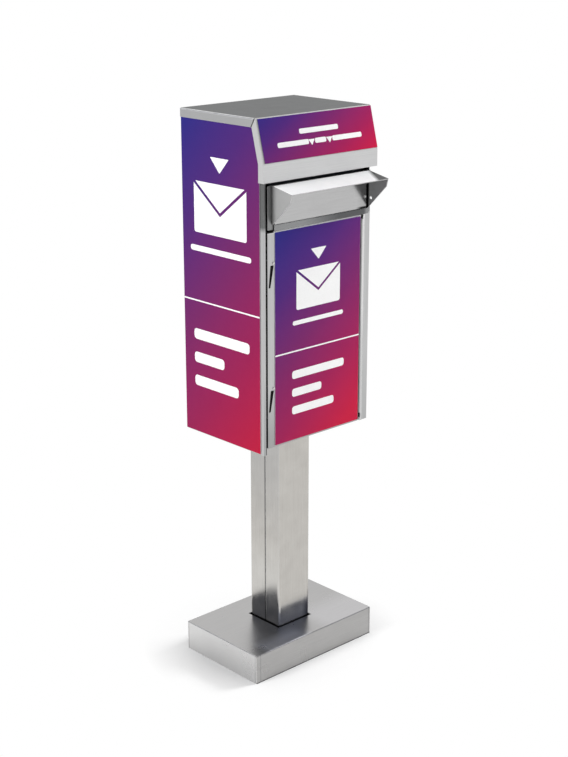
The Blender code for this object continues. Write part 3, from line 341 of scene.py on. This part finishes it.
roofLook = dict(
    cabinetLook, name="brushedStainlessRoof", grainAxis="X", roughness=0.4, frostedFaces=((upward, 0.8),),
    patches=(
        # painted shade: the roof's top is painted dark, standing in for the dark it mirrors
        patch("636464", "6E6F6F", face=upward),
        # painted highlight along the lip's upper edge
        patch("F8F8F8", "FFFFFF", (leftward, 172.6 * mm, 173.4 * mm), (upward, 1317 * mm, 1318.5 * mm)),
        patch("161616", "1C1C1C", mitreLine, face=leftward),
        patch("161616", "1C1C1C", mitreLine, face=rightward),
    ))
fasciaLook = dict(cabinetLook, name="brushedStainlessFascia", grainAxis="X", dark="D0D0D0", light="DEDEDE",
                  frostedFaces=((upward, 0.15),), patches=())
doorLook = dict(
    cabinetLook, name="brushedStainlessDoor", edgeRadius=0.5 * mm, edgeWearAndHighlight=0.3,
    frostedFaces=((upward, 0.15),), patches=(
        # painted shade: darker low down, as on the stile
        patch("A2A3A3", "AEAEAE", (upward, 720 * mm, 610 * mm)),
        # painted highlight along the top edge, where its fold catches the light, up to a painted black shade
        # at its hinge end
        patch("F4F4F4", "FCFCFC", (upward, 1074 * mm, 1076 * mm)),
        patch("141415", "1A1A1B", (upward, 1075.2 * mm, 1076 * mm), (leftward, 142.5 * mm, 143.5 * mm)),
        # painted shade in the gap at the hinges and in the slots, on the faces that look left
        patch("141415", "1A1A1B", face=leftward, limit=0.9),
    ))
postLook = dict(
    cabinetLook, name="brushedStainlessPost", dark="B7B4AF", light="C6C3BE", cloudSize=45 * mm,
    # its wide bright edges are a painted highlight on the post's rounded corners
    cloudShare=0.9, roughness=0.2, edgeRadius=2.5 * mm, edgeWearAndHighlight=0.6, patches=(
        # painted light and shade: the left face darker up high and paler low down, the front paler at its
        # foot, and a painted dark reflection at the right of its foot
        patch("ACABA9", "BAB9B7", (upward, 260 * mm, 540 * mm), face=leftward),
        patch("C2C0BC", "D0CECA", (upward, 300 * mm, 210 * mm), (upward, 95 * mm, 160 * mm), face=leftward),
        patch("E4E3E4", "F0EFF0", (upward, 130 * mm, 95 * mm), face=frontward),
        patch("6A6A73", "73737C", (upward, 128 * mm, 102 * mm), (rightward, 26 * mm, 46 * mm),
              face=frontward),
    ), seamWidth=2.1 * mm, seamColour="161618", seams=(
        ("Y", -2.5 * mm, leftward), ("Y", -2.5 * mm, rightward),
    ))
baseLow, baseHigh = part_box("base_cover")
baseLook = dict(
    cabinetLook, name="brushedStainlessBase", grainAxis="X", dark="B0AFAF", light="BEBDBC", roughness=0.3,
    bump=0.12, patches=(
        # painted light and shade: the left face painted brighter and the front darker
        patch("D4D3D3", "E0E0DF", face=leftward),
        patch("A6A5A4", "B3B2B1", face=frontward),
        # painted shade along the foot of the front, where it stands in its own shadow
        patch("3E3E40", "464648", (upward, 3 * mm, 1.5 * mm), face=frontward),
        # painted light: brighter on top, in front of the post and to its right
        patch("F0F0F4", "F8F8FC", (frontward, 66 * mm, 100 * mm), (leftward, 5 * mm, 45 * mm),
              (rightward, -165 * mm, -145 * mm), face=upward),
        patch("BDBCBD", "CAC9CA", (frontward, 0, 60 * mm), (rightward, 20 * mm, 60 * mm), face=upward),
    ), seamWidth=0.9 * mm, seamColour="6E6E70", seams=(
        ("X", baseLow.x + 13 * mm, frontward), ("X", baseHigh.x - 6 * mm, frontward),
        ("X", baseLow.x + 6 * mm, backward), ("X", baseHigh.x - 13 * mm, backward),
        ("Y", baseLow.y + 5 * mm, leftward), ("Y", baseHigh.y - 5 * mm, leftward),
        ("Y", baseLow.y + 5 * mm, rightward), ("Y", baseHigh.y - 5 * mm, rightward),
    ))
insideLook = dict(cabinetLook, name="millFinishStainless", dark="6A6B6C", light="767778", roughness=0.42,
                  bump=0.1, patches=())
cheekRake = (0, -0.66, -0.75)   # the way the cheeks' raking edges look
trayEnd = ((0.88, -0.477, 0), 189 * mm, 201 * mm)   # the right front corner of the tray's plate
rightCheek = (rightward, 100 * mm, 101 * mm)
trayLook = dict(
    cabinetLook, name="polishedStainlessTray", grainAxis="X", dark="B4B4B4", light="C0C0C0", edge="F4F4F4",
    roughness=0.3, roughnessSpread=0.03, bump=0.06,
    frostedFaces=((upward, 0.15), (leftward, 0.15), (cheekRake, 0.9)), patches=(
        # painted highlight: the plate's top is painted near white
        patch("F0F1F2", "FCFCFC", face=upward),
        # painted reflection: a dark corner at the right end of the plate's top
        patch("3E3E3E", "464646", trayEnd, face=upward),
        # painted shade: dark under the header
        patch("0E0E0E", "121212", (backward, -139 * mm, -136 * mm), face=upward),
        # painted shade: the faces that look left are darker, darkest near the wall and on the right cheek
        patch("9E9E9E", "A8A8A8", face=leftward),
        patch("7C7C7C", "868686", (backward, -150 * mm, -136 * mm), face=leftward),
        patch("9A9A9A", "A4A4A4", rightCheek, face=leftward),
        # painted shade: a black band where the right cheek meets the wall
        patch("080808", "0C0C0C", rightCheek, (backward, -140 * mm, -136 * mm), face=leftward),
    ))
hoodLook = dict(
    cabinetLook, name="polishedStainlessHood", grainAxis="X", dark="B4B4B4", light="BFBFBF", roughness=0.2,
    roughnessSpread=0.03, bump=0.06, patches=(
        # painted shade: the cheek's shadow on the right end of the panel
        patch("A4A4A4", "AEAEAE", (rightward, 112 * mm, 140 * mm), face=frontward),
        # painted shade: a black band over the right end of the rail
        patch("1C1C1C", "222222", (rightward, 110 * mm, 126 * mm), (upward, 1098 * mm, 1095.5 * mm),
              face=frontward),
    ))
# painted shade: the frame's margin beside the tray is dark, darker still at its left end
hoodFrameLook = dict(cabinetLook, name="brushedStainlessHoodFrame", dark="929393", light="9F9FA0", patches=(
    patch("8A8B8B", "969697", (leftward, 146 * mm, 149 * mm)),
))
# painted shade: the rail is dark under the hood, darker towards its right and black on top at its right end;
# its top face is painted pale, as if lit
railLook = dict(
    hoodLook, name="polishedStainlessRail", dark="8A8B8C", light="949596", frostedFaces=((upward, 0.15),),
    patches=(
        patch("D0D0D0", "DADADA", face=upward),
        patch("0A0A0A", "0E0E0E", (rightward, 108 * mm, 122 * mm), face=upward),
        patch("58595A", "626364", (rightward, -60 * mm, 55 * mm)),
        patch("8A8B8C", "949596", (rightward, 133 * mm, 142 * mm)),
    ))
stripLook = dict(cabinetLook, name="polishedStainlessStrip", dark="D6D6D6", light="E4E4E4", roughness=0.2,
                 bump=0.06, patches=(
                     # painted shade: darker low down, as on the stile
                     patch("C4C4C4", "D2D2D2", (upward, 860 * mm, 780 * mm)),
                 ))


# zinc, nickel or black oxide on small steel parts: fine mottling, brighter edges that are part wear and part
# painted highlight
def platedSteel(look):
    material, tree, shader = newMaterial(look["name"])
    place = addNode(tree, "ShaderNodeTexCoord").outputs["Object"]
    mottle = addNode(tree, "ShaderNodeTexNoise", {"Vector": place, "Scale": 1 / look["mottleSize"],
                                                  "Detail": 4}).outputs[0]
    level = addNode(tree, "ShaderNodeMapRange", {"Value": mottle, "From Min": noiseRange[0],
                                                 "From Max": noiseRange[1]}).outputs[0]
    coat = addNode(tree, "ShaderNodeValToRGB", {0: level})
    setRamp(coat, ((0, look["dark"]), (1, look["light"])))
    colour, softened = wornAndHighlitEdges(tree, coat.outputs["Color"], look)
    addSurface(tree, shader, look, colour, mottle, mottle, softened)
    shader.inputs["Metallic"].default_value = look["metallic"]
    return material


zincLook = {
    "name": "zincPlatedSteel", "mottleSize": 3 * mm,
    "dark": "9A9CA0", "light": "B4B6BA", "edge": "D8DADC", "edgeRadius": 0.5 * mm, "edgeWearAndHighlight": 0.6,
    "roughness": 0.38, "roughnessSpread": 0.06, "glossRange": cloudRange,
    "bump": 0.2, "bumpDepth": 0.05 * mm, "metallic": 1,
}
nickelLook = dict(zincLook, name="nickelPlatedBrass", dark="C9C8C4", light="D6D5D2", edge="F0F0EE",
                  roughness=0.18, bump=0.05)
blackSteelLook = dict(zincLook, name="blackOxideSteel", dark="0C0C0D", light="131314", edge="3A3A3C",
                      edgeWearAndHighlight=0.3, roughness=0.45, bump=0.15, metallic=0.6)


# rubber, paint or plastic film: no metal in it, a fine uneven skin
def mattCoat(look):
    material, tree, shader = newMaterial(look["name"])
    place = addNode(tree, "ShaderNodeTexCoord").outputs["Object"]
    skin = addNode(tree, "ShaderNodeTexNoise", {"Vector": place, "Scale": 1 / look["skinSize"],
                                                "Detail": 3}).outputs[0]
    level = addNode(tree, "ShaderNodeMapRange", {"Value": skin, "From Min": noiseRange[0],
                                                 "From Max": noiseRange[1]}).outputs[0]
    coat = addNode(tree, "ShaderNodeValToRGB", {0: level})
    setRamp(coat, ((0, look["dark"]), (1, look["light"])))
    addSurface(tree, shader, look, coat.outputs["Color"], skin, skin)
    shader.inputs["IOR"].default_value = look["ior"]
    return material


rubberLook = {
    "name": "blackRubber", "skinSize": 0.8 * mm, "dark": "0A0A0B", "light": "121213",
    "roughness": 0.75, "roughnessSpread": 0.08, "glossRange": (0, 1),
    "bump": 0.3, "bumpDepth": 0.1 * mm, "ior": 1.52,
}
ballastLook = dict(rubberLook, name="greyPrimedCastIron", skinSize=2.5 * mm, dark="3A3B3D", light="47484B",
                   roughness=0.6, bump=0.6, ior=1.5)
motifLook = dict(rubberLook, name="whiteCutVinyl", skinSize=4 * mm, dark="FCFCFC", light="FFFFFF",
                 roughness=0.4, bump=0.05, ior=1.5)

finishes = {
    "cabinet": brushedSteel(cabinetLook),
    "leftSide": brushedSteel(leftSideLook),
    "door": brushedSteel(doorLook),
    "hoodFrame": brushedSteel(hoodFrameLook),
    "rail": brushedSteel(railLook),
    "roof": brushedSteel(roofLook),
    "fascia": brushedSteel(fasciaLook),
    "post": brushedSteel(postLook),
    "base": brushedSteel(baseLook),
    "inside": brushedSteel(insideLook),
    "tray": brushedSteel(trayLook),
    "hood": brushedSteel(hoodLook),
    "strip": brushedSteel(stripLook),
    "zinc": platedSteel(zincLook),
    "nickel": platedSteel(nickelLook),
    "blackSteel": platedSteel(blackSteelLook),
    "rubber": mattCoat(rubberLook),
    "ballast": mattCoat(ballastLook),
    "motif": mattCoat(motifLook),
}
wearers = {
    "cabinet": ("right_side_panel", "back_panel", "closing_stile"),
    "leftSide": ("left_side_panel",),
    "door": ("door_panel",),
    "hoodFrame": ("hood_frame",),
    "rail": ("drip_rail",),
    "roof": ("roof_cap",),
    "fascia": ("fascia",),
    "post": ("post_front_channel", "post_rear_channel"),
    "base": ("base_cover",),
    "inside": ("cabinet_floor", "hinge_jamb", "top_rail", "slot_head_rail", "slot_flap", "security_baffle",
               "door_stiffener"),
    "tray": ("deposit_tray",),
    "hood": ("hood_panel",),
    "strip": ("closing_strip",),
    "zinc": ("foot_flange", "top_flange", "foot_bolt_1", "foot_bolt_2", "foot_bolt_3", "foot_bolt_4",
             "cabinet_bolt_1", "cabinet_bolt_2", "cabinet_bolt_3", "cabinet_bolt_4", "flap_bracket_left",
             "flap_bracket_right", "door_catch", "lock_nut", "lock_cam", "cam_screw"),
    "nickel": ("lock_housing", "lock_plug", "flap_rod", "hinge_pin_upper", "hinge_pin_lower",
               "hinge_rivet_upper", "hinge_rivet_lower"),
    "blackSteel": ("hinge_door_leaf_upper", "hinge_door_leaf_lower", "hinge_jamb_leaf_upper",
                   "hinge_jamb_leaf_lower"),
    "rubber": ("upper_bumper", "lower_bumper", "door_seal"),
    "ballast": ("ballast_plate",),
}
print("metals and coats ready")

printedFilm = {
    "colours": ((0, "2D2E88"), (0.25, "552C7E"), (0.5, "802A6C"), (0.75, "A6235A"), (1, "CC1E44")),
    "shadowInk": "000000",
    "mottleSize": 1.5 * mm,     # ink dots, drawn coarser than they are so that they show
    "mottle": 0.03,             # how far the dots shift the wash of colour
    "rippleSize": 9 * mm,       # the film lies a little wavy
    "bump": 0.08,
    "bumpDepth": 0.3 * mm,
    "roughness": 0.5,
    "roughnessSpread": 0.06,
    "glossRange": (0, 1),
    "sheen": 0.08,
    "cutEdge": "F2F2F4",
}


# PVC foam board, solvent printed, with a satin film: one wash of colour, pale cut edges
def printedSheet(look):
    material, tree, shader = newMaterial(look["name"])
    coordinates = addNode(tree, "ShaderNodeTexCoord").outputs
    place = coordinates["Object"]
    parts = addNode(tree, "ShaderNodeSeparateXYZ", {0: place}).outputs
    across = addNode(tree, "ShaderNodeMapRange", {"Value": parts[look["acrossAxis"]],
                                                  "From Min": look["left"], "From Max": look["right"],
                                                  "To Max": look["acrossShare"]}).outputs[0]
    down = addNode(tree, "ShaderNodeMapRange", {"Value": parts["Z"], "From Min": look["top"],
                                                "From Max": look["bottom"],
                                                "To Max": look["downShare"]}).outputs[0]
    wash = addNode(tree, "ShaderNodeMath", {0: across, 1: down}, operation="ADD").outputs[0]
    dots = addNode(tree, "ShaderNodeTexNoise", {"Vector": place, "Scale": 1 / look["mottleSize"],
                                                "Detail": 2}).outputs[0]
    wash = addNode(tree, "ShaderNodeMath", {0: dots, 1: look["mottle"], 2: wash},
                   operation="MULTIPLY_ADD").outputs[0]
    wash = addNode(tree, "ShaderNodeMath", {0: wash, 1: look["start"] - look["mottle"] / 2},
                   operation="ADD").outputs[0]
    ink = addNode(tree, "ShaderNodeValToRGB", {0: wash})
    setRamp(ink, look["colours"])
    ink = addNode(tree, "ShaderNodeMix", {0: look["paintedShade"], 6: ink.outputs["Color"],
                                          7: hexColour(look["shadowInk"])}, data_type="RGBA").outputs[2]
    printed = facing(tree, coordinates, look["face"])
    colour = addNode(tree, "ShaderNodeMix", {0: printed, 6: hexColour(look["cutEdge"]), 7: ink},
                     data_type="RGBA").outputs[2]
    film = addNode(tree, "ShaderNodeTexNoise", {"Vector": place, "Scale": 1 / look["rippleSize"],
                                                "Detail": 2}).outputs[0]
    addSurface(tree, shader, look, colour, film, film)
    shader.inputs["Specular IOR Level"].default_value = look["sheen"]
    return material


# The wash of colour runs across the sheet and down it. Each share is how far it gets that way, start is
# where in the colours it begins, and paintedShade is how far the ink is mixed towards black as painted shade.
# fromLeft says whether the sheet's left edge is at the low end of its axis.
def sheetLook(node, acrossAxis, fromLeft, face, acrossShare, downShare, start=0, paintedShade=0):
    low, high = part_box(node)
    axis = "XYZ".index(acrossAxis)
    left, right = (low[axis], high[axis]) if fromLeft else (high[axis], low[axis])
    return dict(printedFilm, name="print_" + node, acrossAxis=acrossAxis, left=left, right=right,
                top=high.z, bottom=low.z, face=face, acrossShare=acrossShare, downShare=downShare,
                start=start, paintedShade=paintedShade)


slantRise, slantRun = 95, 25    # the header's slanted face goes up this much for this much backward
slantFace = Vector((0, -slantRise, slantRun)).normalized()
headerLook = sheetLook("header_printed_panel", "X", True, slantFace, 0.62, 0.31, start=0.06)
signLooks = {
    # painted shade: the left sheet's ink is darkened, as the left lamp lights it more
    "left_printed_panel": sheetLook("left_printed_panel", "Y", False, leftward, 0.28, 0.73, paintedShade=0.17),
    "right_printed_panel": sheetLook("right_printed_panel", "Y", True, rightward, 0.28, 0.73),
    "door_printed_panel": sheetLook("door_printed_panel", "X", True, frontward, 0.32, 0.75),
    "header_printed_panel": dict(headerLook, cutEdge="77777A"),
}

for finish, names in wearers.items():
    for name in names:
        nodes[name].data.materials.clear()
        nodes[name].data.materials.append(finishes[finish])
for name, look in signLooks.items():
    nodes[name].data.materials.clear()
    nodes[name].data.materials.append(printedSheet(look))
print("finishes on the nodes")

vinyl = {
    "thickness": 0.2 * mm,
    "standOff": 0.02 * mm,      # over the sheet, so that the two don't share a face
    "barCorner": 3,             # a bar's height over its corner radius
    "slotCorner": 2.2,          # the same for the slot, which comes out rounder
    "barSteps": 5,
    "wedgeSteps": 3,
    "envelopeSteps": 4,
}


def startPiece():  # nothing else may be selected, or the next step would change it as well
    bpy.ops.object.select_all(action="DESELECT")


def roundedBar(centre, size, radius):  # a strip with round corners, or square ones at radius 0
    startPiece()
    bpy.ops.mesh.primitive_plane_add(size=1, location=(*centre, 0))
    bpy.ops.transform.resize(value=(size[0], size[1], 1))
    bpy.ops.object.transform_apply(location=True, rotation=True, scale=True)
    if radius:
        bpy.ops.object.mode_set(mode="EDIT")
        bpy.ops.mesh.select_all(action="SELECT")
        bpy.ops.mesh.bevel(offset=radius, segments=vinyl["barSteps"], affect="VERTICES")
        bpy.ops.object.mode_set(mode="OBJECT")
    return bpy.context.active_object


def downTriangle(centre, width, height, radius):  # a wedge that points down
    startPiece()
    bpy.ops.mesh.primitive_circle_add(vertices=3, radius=1, fill_type="NGON", rotation=(0, 0, math.pi),
                                      location=(*centre, 0))
    bpy.ops.object.transform_apply(location=False, rotation=True, scale=False)
    bpy.ops.transform.resize(value=(width / math.sqrt(3), height / 1.5, 1))  # its box was sqrt(3) by 1.5
    bpy.ops.object.transform_apply(location=True, rotation=True, scale=True)
    bpy.ops.object.mode_set(mode="EDIT")
    bpy.ops.mesh.select_all(action="SELECT")
    bpy.ops.mesh.bevel(offset=radius, segments=vinyl["wedgeSteps"], affect="VERTICES")
    bpy.ops.object.mode_set(mode="OBJECT")
    return bpy.context.active_object


def envelope(centre, size, pointDrop, gap, radius):  # a solid envelope, its flap cut free by one open V
    startPiece()
    width, height = size
    bpy.ops.mesh.primitive_plane_add(size=1, location=(centre[0] - width / 4, centre[1], 0))
    bpy.ops.transform.resize(value=(width / 2, height, 1))
    bpy.ops.object.transform_apply(location=True, rotation=True, scale=True)
    piece = bpy.context.active_object
    corner = Vector((centre[0] - width / 2, centre[1] + height / 2, 0))
    point = Vector((centre[0], centre[1] - height * pointDrop, 0))
    along = (point - corner).normalized()
    aside = Vector((-along.y, along.x, 0))
    bpy.ops.object.mode_set(mode="EDIT")
    for shift in (gap / 2, -gap / 2):
        bpy.ops.mesh.select_all(action="SELECT")
        bpy.ops.mesh.bisect(plane_co=corner + aside * shift, plane_no=aside)
    bpy.ops.mesh.select_all(action="DESELECT")
    bpy.ops.object.mode_set(mode="OBJECT")
    for face in piece.data.polygons:
        face.select = abs((face.center - corner).dot(aside)) < gap / 2
    bpy.ops.object.mode_set(mode="EDIT")
    bpy.ops.mesh.delete(type="FACE")
    bpy.ops.object.mode_set(mode="OBJECT")
    for vertex in piece.data.vertices:  # the outer lower corner gets a radius, on both halves
        vertex.select = vertex.co.x < corner.x + mm and vertex.co.y < corner.y - height + mm
    bpy.ops.object.mode_set(mode="EDIT")
    bpy.ops.mesh.bevel(offset=radius, segments=vinyl["envelopeSteps"], affect="VERTICES")
    bpy.ops.object.mode_set(mode="OBJECT")
    mirror = piece.modifiers.new("otherHalf", "MIRROR")
    bpy.ops.object.empty_add(location=(centre[0], centre[1], 0))
    middle = bpy.context.active_object
    mirror.mirror_object = middle
    mirror.merge_threshold = 0.01 * mm
    bpy.context.view_layer.objects.active = piece
    bpy.ops.object.select_all(action="DESELECT")
    piece.select_set(True)
    bpy.ops.object.modifier_apply(modifier=mirror.name)
    bpy.data.objects.remove(middle)
    bpy.ops.object.mode_set(mode="EDIT")
    bpy.ops.mesh.select_all(action="SELECT")
    bpy.ops.mesh.dissolve_limited(angle_limit=math.radians(1))
    bpy.ops.object.mode_set(mode="OBJECT")
    return piece


def layOnSheet(name, parts, corner, across, up, body):  # joins the parts, thickens them, puts them on a sign
    startPiece()
    for part in parts:
        part.select_set(True)
    bpy.context.view_layer.objects.active = parts[0]
    bpy.ops.object.join()
    piece = bpy.context.active_object
    piece.name = name
    piece.data.name = name
    bpy.ops.object.mode_set(mode="EDIT")
    bpy.ops.mesh.select_all(action="SELECT")
    bpy.ops.mesh.normals_make_consistent(inside=False)
    bpy.ops.object.mode_set(mode="OBJECT")
    if sum(face.normal.z for face in piece.data.polygons) < 0:
        piece.data.flip_normals()
    film = piece.modifiers.new("film", "SOLIDIFY")
    film.thickness = vinyl["thickness"]
    film.offset = 1
    bpy.ops.object.modifier_apply(modifier=film.name)
    across, up = Vector(across), Vector(up)
    out = across.cross(up)
    turn = Matrix((across, up, out)).transposed().to_4x4()
    piece.matrix_world = Matrix.Translation(Vector(corner) + out * vinyl["standOff"]) @ turn
    bpy.ops.object.transform_apply(location=True, rotation=True, scale=True)
    piece.data.materials.clear()
    piece.data.materials.append(finishes["motif"])
    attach(piece, body)


def signMotif(look):  # heights run up from the sheet's lower edge, widths from its left edge
    middle = look["middle"]
    triangleSize = (look["triangleWidth"], look["triangleWidth"] * look["triangleShare"])
    dividerLength = look["width"] - 2 * look["dividerInset"]
    slotLength = look["envelopeSize"][0] * look["slotShare"]
    slotCorner = look["slotHeight"] / vinyl["slotCorner"]
    barCorner = look["barHeight"] / vinyl["barCorner"]
    parts = [
        roundedBar((look["width"] / 2, look["divider"]), (dividerLength, look["dividerHeight"]), 0),
        downTriangle((middle, look["triangle"]), *triangleSize, look["triangleCorner"]),
        envelope((middle, look["envelope"]), look["envelopeSize"], look["pointDrop"], look["gap"],
                 look["envelopeCorner"]),
        roundedBar((middle, look["slot"]), (slotLength, look["slotHeight"]), slotCorner),
    ]
    for height, length in look["bars"]:
        centre = (look["barLeft"] + length / 2, height)
        parts.append(roundedBar(centre, (length, look["barHeight"]), barCorner))
    return parts


sideSign = {
    "width": 258.5 * mm, "middle": 129 * mm,
    "divider": 317.4 * mm, "dividerHeight": 3.4 * mm, "dividerInset": 0.6 * mm,
    "triangle": 640 * mm, "triangleWidth": 62 * mm, "triangleCorner": 2 * mm,
    "triangleShare": 0.55,      # its height over its width
    "envelope": 535 * mm, "envelopeSize": (176 * mm, 116 * mm), "envelopeCorner": 5 * mm,
    "gap": 7 * mm,              # the bare V between flap and body
    "pointDrop": 0.08,          # how far the V's point is below the middle, over the envelope's height
    "slot": 440 * mm, "slotHeight": 13 * mm,
    "slotShare": 1.16,          # its length over the envelope's width
    "barLeft": 34 * mm, "barHeight": 25 * mm,
    "bars": ((238 * mm, 190 * mm), (182 * mm, 104 * mm), (126 * mm, 152 * mm)),
}
doorSign = dict(
    sideSign, width=265.3 * mm, middle=132.6 * mm,
    divider=208.9 * mm, dividerHeight=3.2 * mm,
    triangle=427 * mm, triangleWidth=48 * mm,
    envelope=348 * mm, envelopeSize=(136 * mm, 90 * mm), gap=5.5 * mm,
    slot=274 * mm, slotHeight=10 * mm,
    barLeft=52 * mm, barHeight=19 * mm,
    bars=((154 * mm, 164 * mm), (112 * mm, 92 * mm), (70 * mm, 132 * mm)))
rightSign = dict(  # as on the left, lower and to the right of the lock
    sideSign, middle=148 * mm, triangle=545 * mm, envelope=458 * mm, envelopeSize=(152 * mm, 100 * mm),
    slot=380 * mm, barLeft=72 * mm, barHeight=22 * mm,
    bars=((252 * mm, 150 * mm), (202 * mm, 90 * mm), (152 * mm, 128 * mm)))
leftLow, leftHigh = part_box("left_printed_panel")
leftCorner = (leftLow.x, leftHigh.y, leftLow.z)
layOnSheet("leftSignMotif", signMotif(sideSign), leftCorner, frontward, upward, "cabinet")
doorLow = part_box("door_printed_panel")[0]
layOnSheet("doorSignMotif", signMotif(doorSign), doorLow, rightward, upward, "door")
rightLow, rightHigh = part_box("right_printed_panel")
rightCorner = (rightHigh.x, rightLow.y, rightLow.z)
layOnSheet("rightSignMotif", signMotif(rightSign), rightCorner, backward, upward, "cabinet")

headerSign = {  # heights run up the slant from the sheet's lower edge, places go sideways from its middle
    "bars": ((58 * mm, 0, 118 * mm), (34 * mm, -82 * mm, 92 * mm), (34 * mm, 0, 34 * mm),
             (34 * mm, 82 * mm, 92 * mm)),
    "barHeight": 11 * mm,
    "triangles": ((34 * mm, -27 * mm), (34 * mm, 27 * mm)),
    "triangleSize": (19 * mm, 13 * mm),
    "triangleCorner": 1 * mm,
    "edgeRise": 0.25 * mm,      # the slanted sheet's lower front edge over its lowest point
}
headerLow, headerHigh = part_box("header_printed_panel")
headerMiddle = (headerHigh.x - headerLow.x) / 2
headerCorner = (headerLow.x, headerLow.y, headerLow.z + headerSign["edgeRise"])
slantUp = Vector((0, slantRun, slantRise)).normalized()
barHeight = headerSign["barHeight"]
parts = [roundedBar((headerMiddle + aside, height), (length, barHeight), barHeight / vinyl["barCorner"])
         for height, aside, length in headerSign["bars"]]
parts += [downTriangle((headerMiddle + aside, height), *headerSign["triangleSize"],
                       headerSign["triangleCorner"])
          for height, aside in headerSign["triangles"]]
layOnSheet("headerSignMotif", parts, headerCorner, rightward, slantUp, "cabinet")
print("vinyl on the signs")
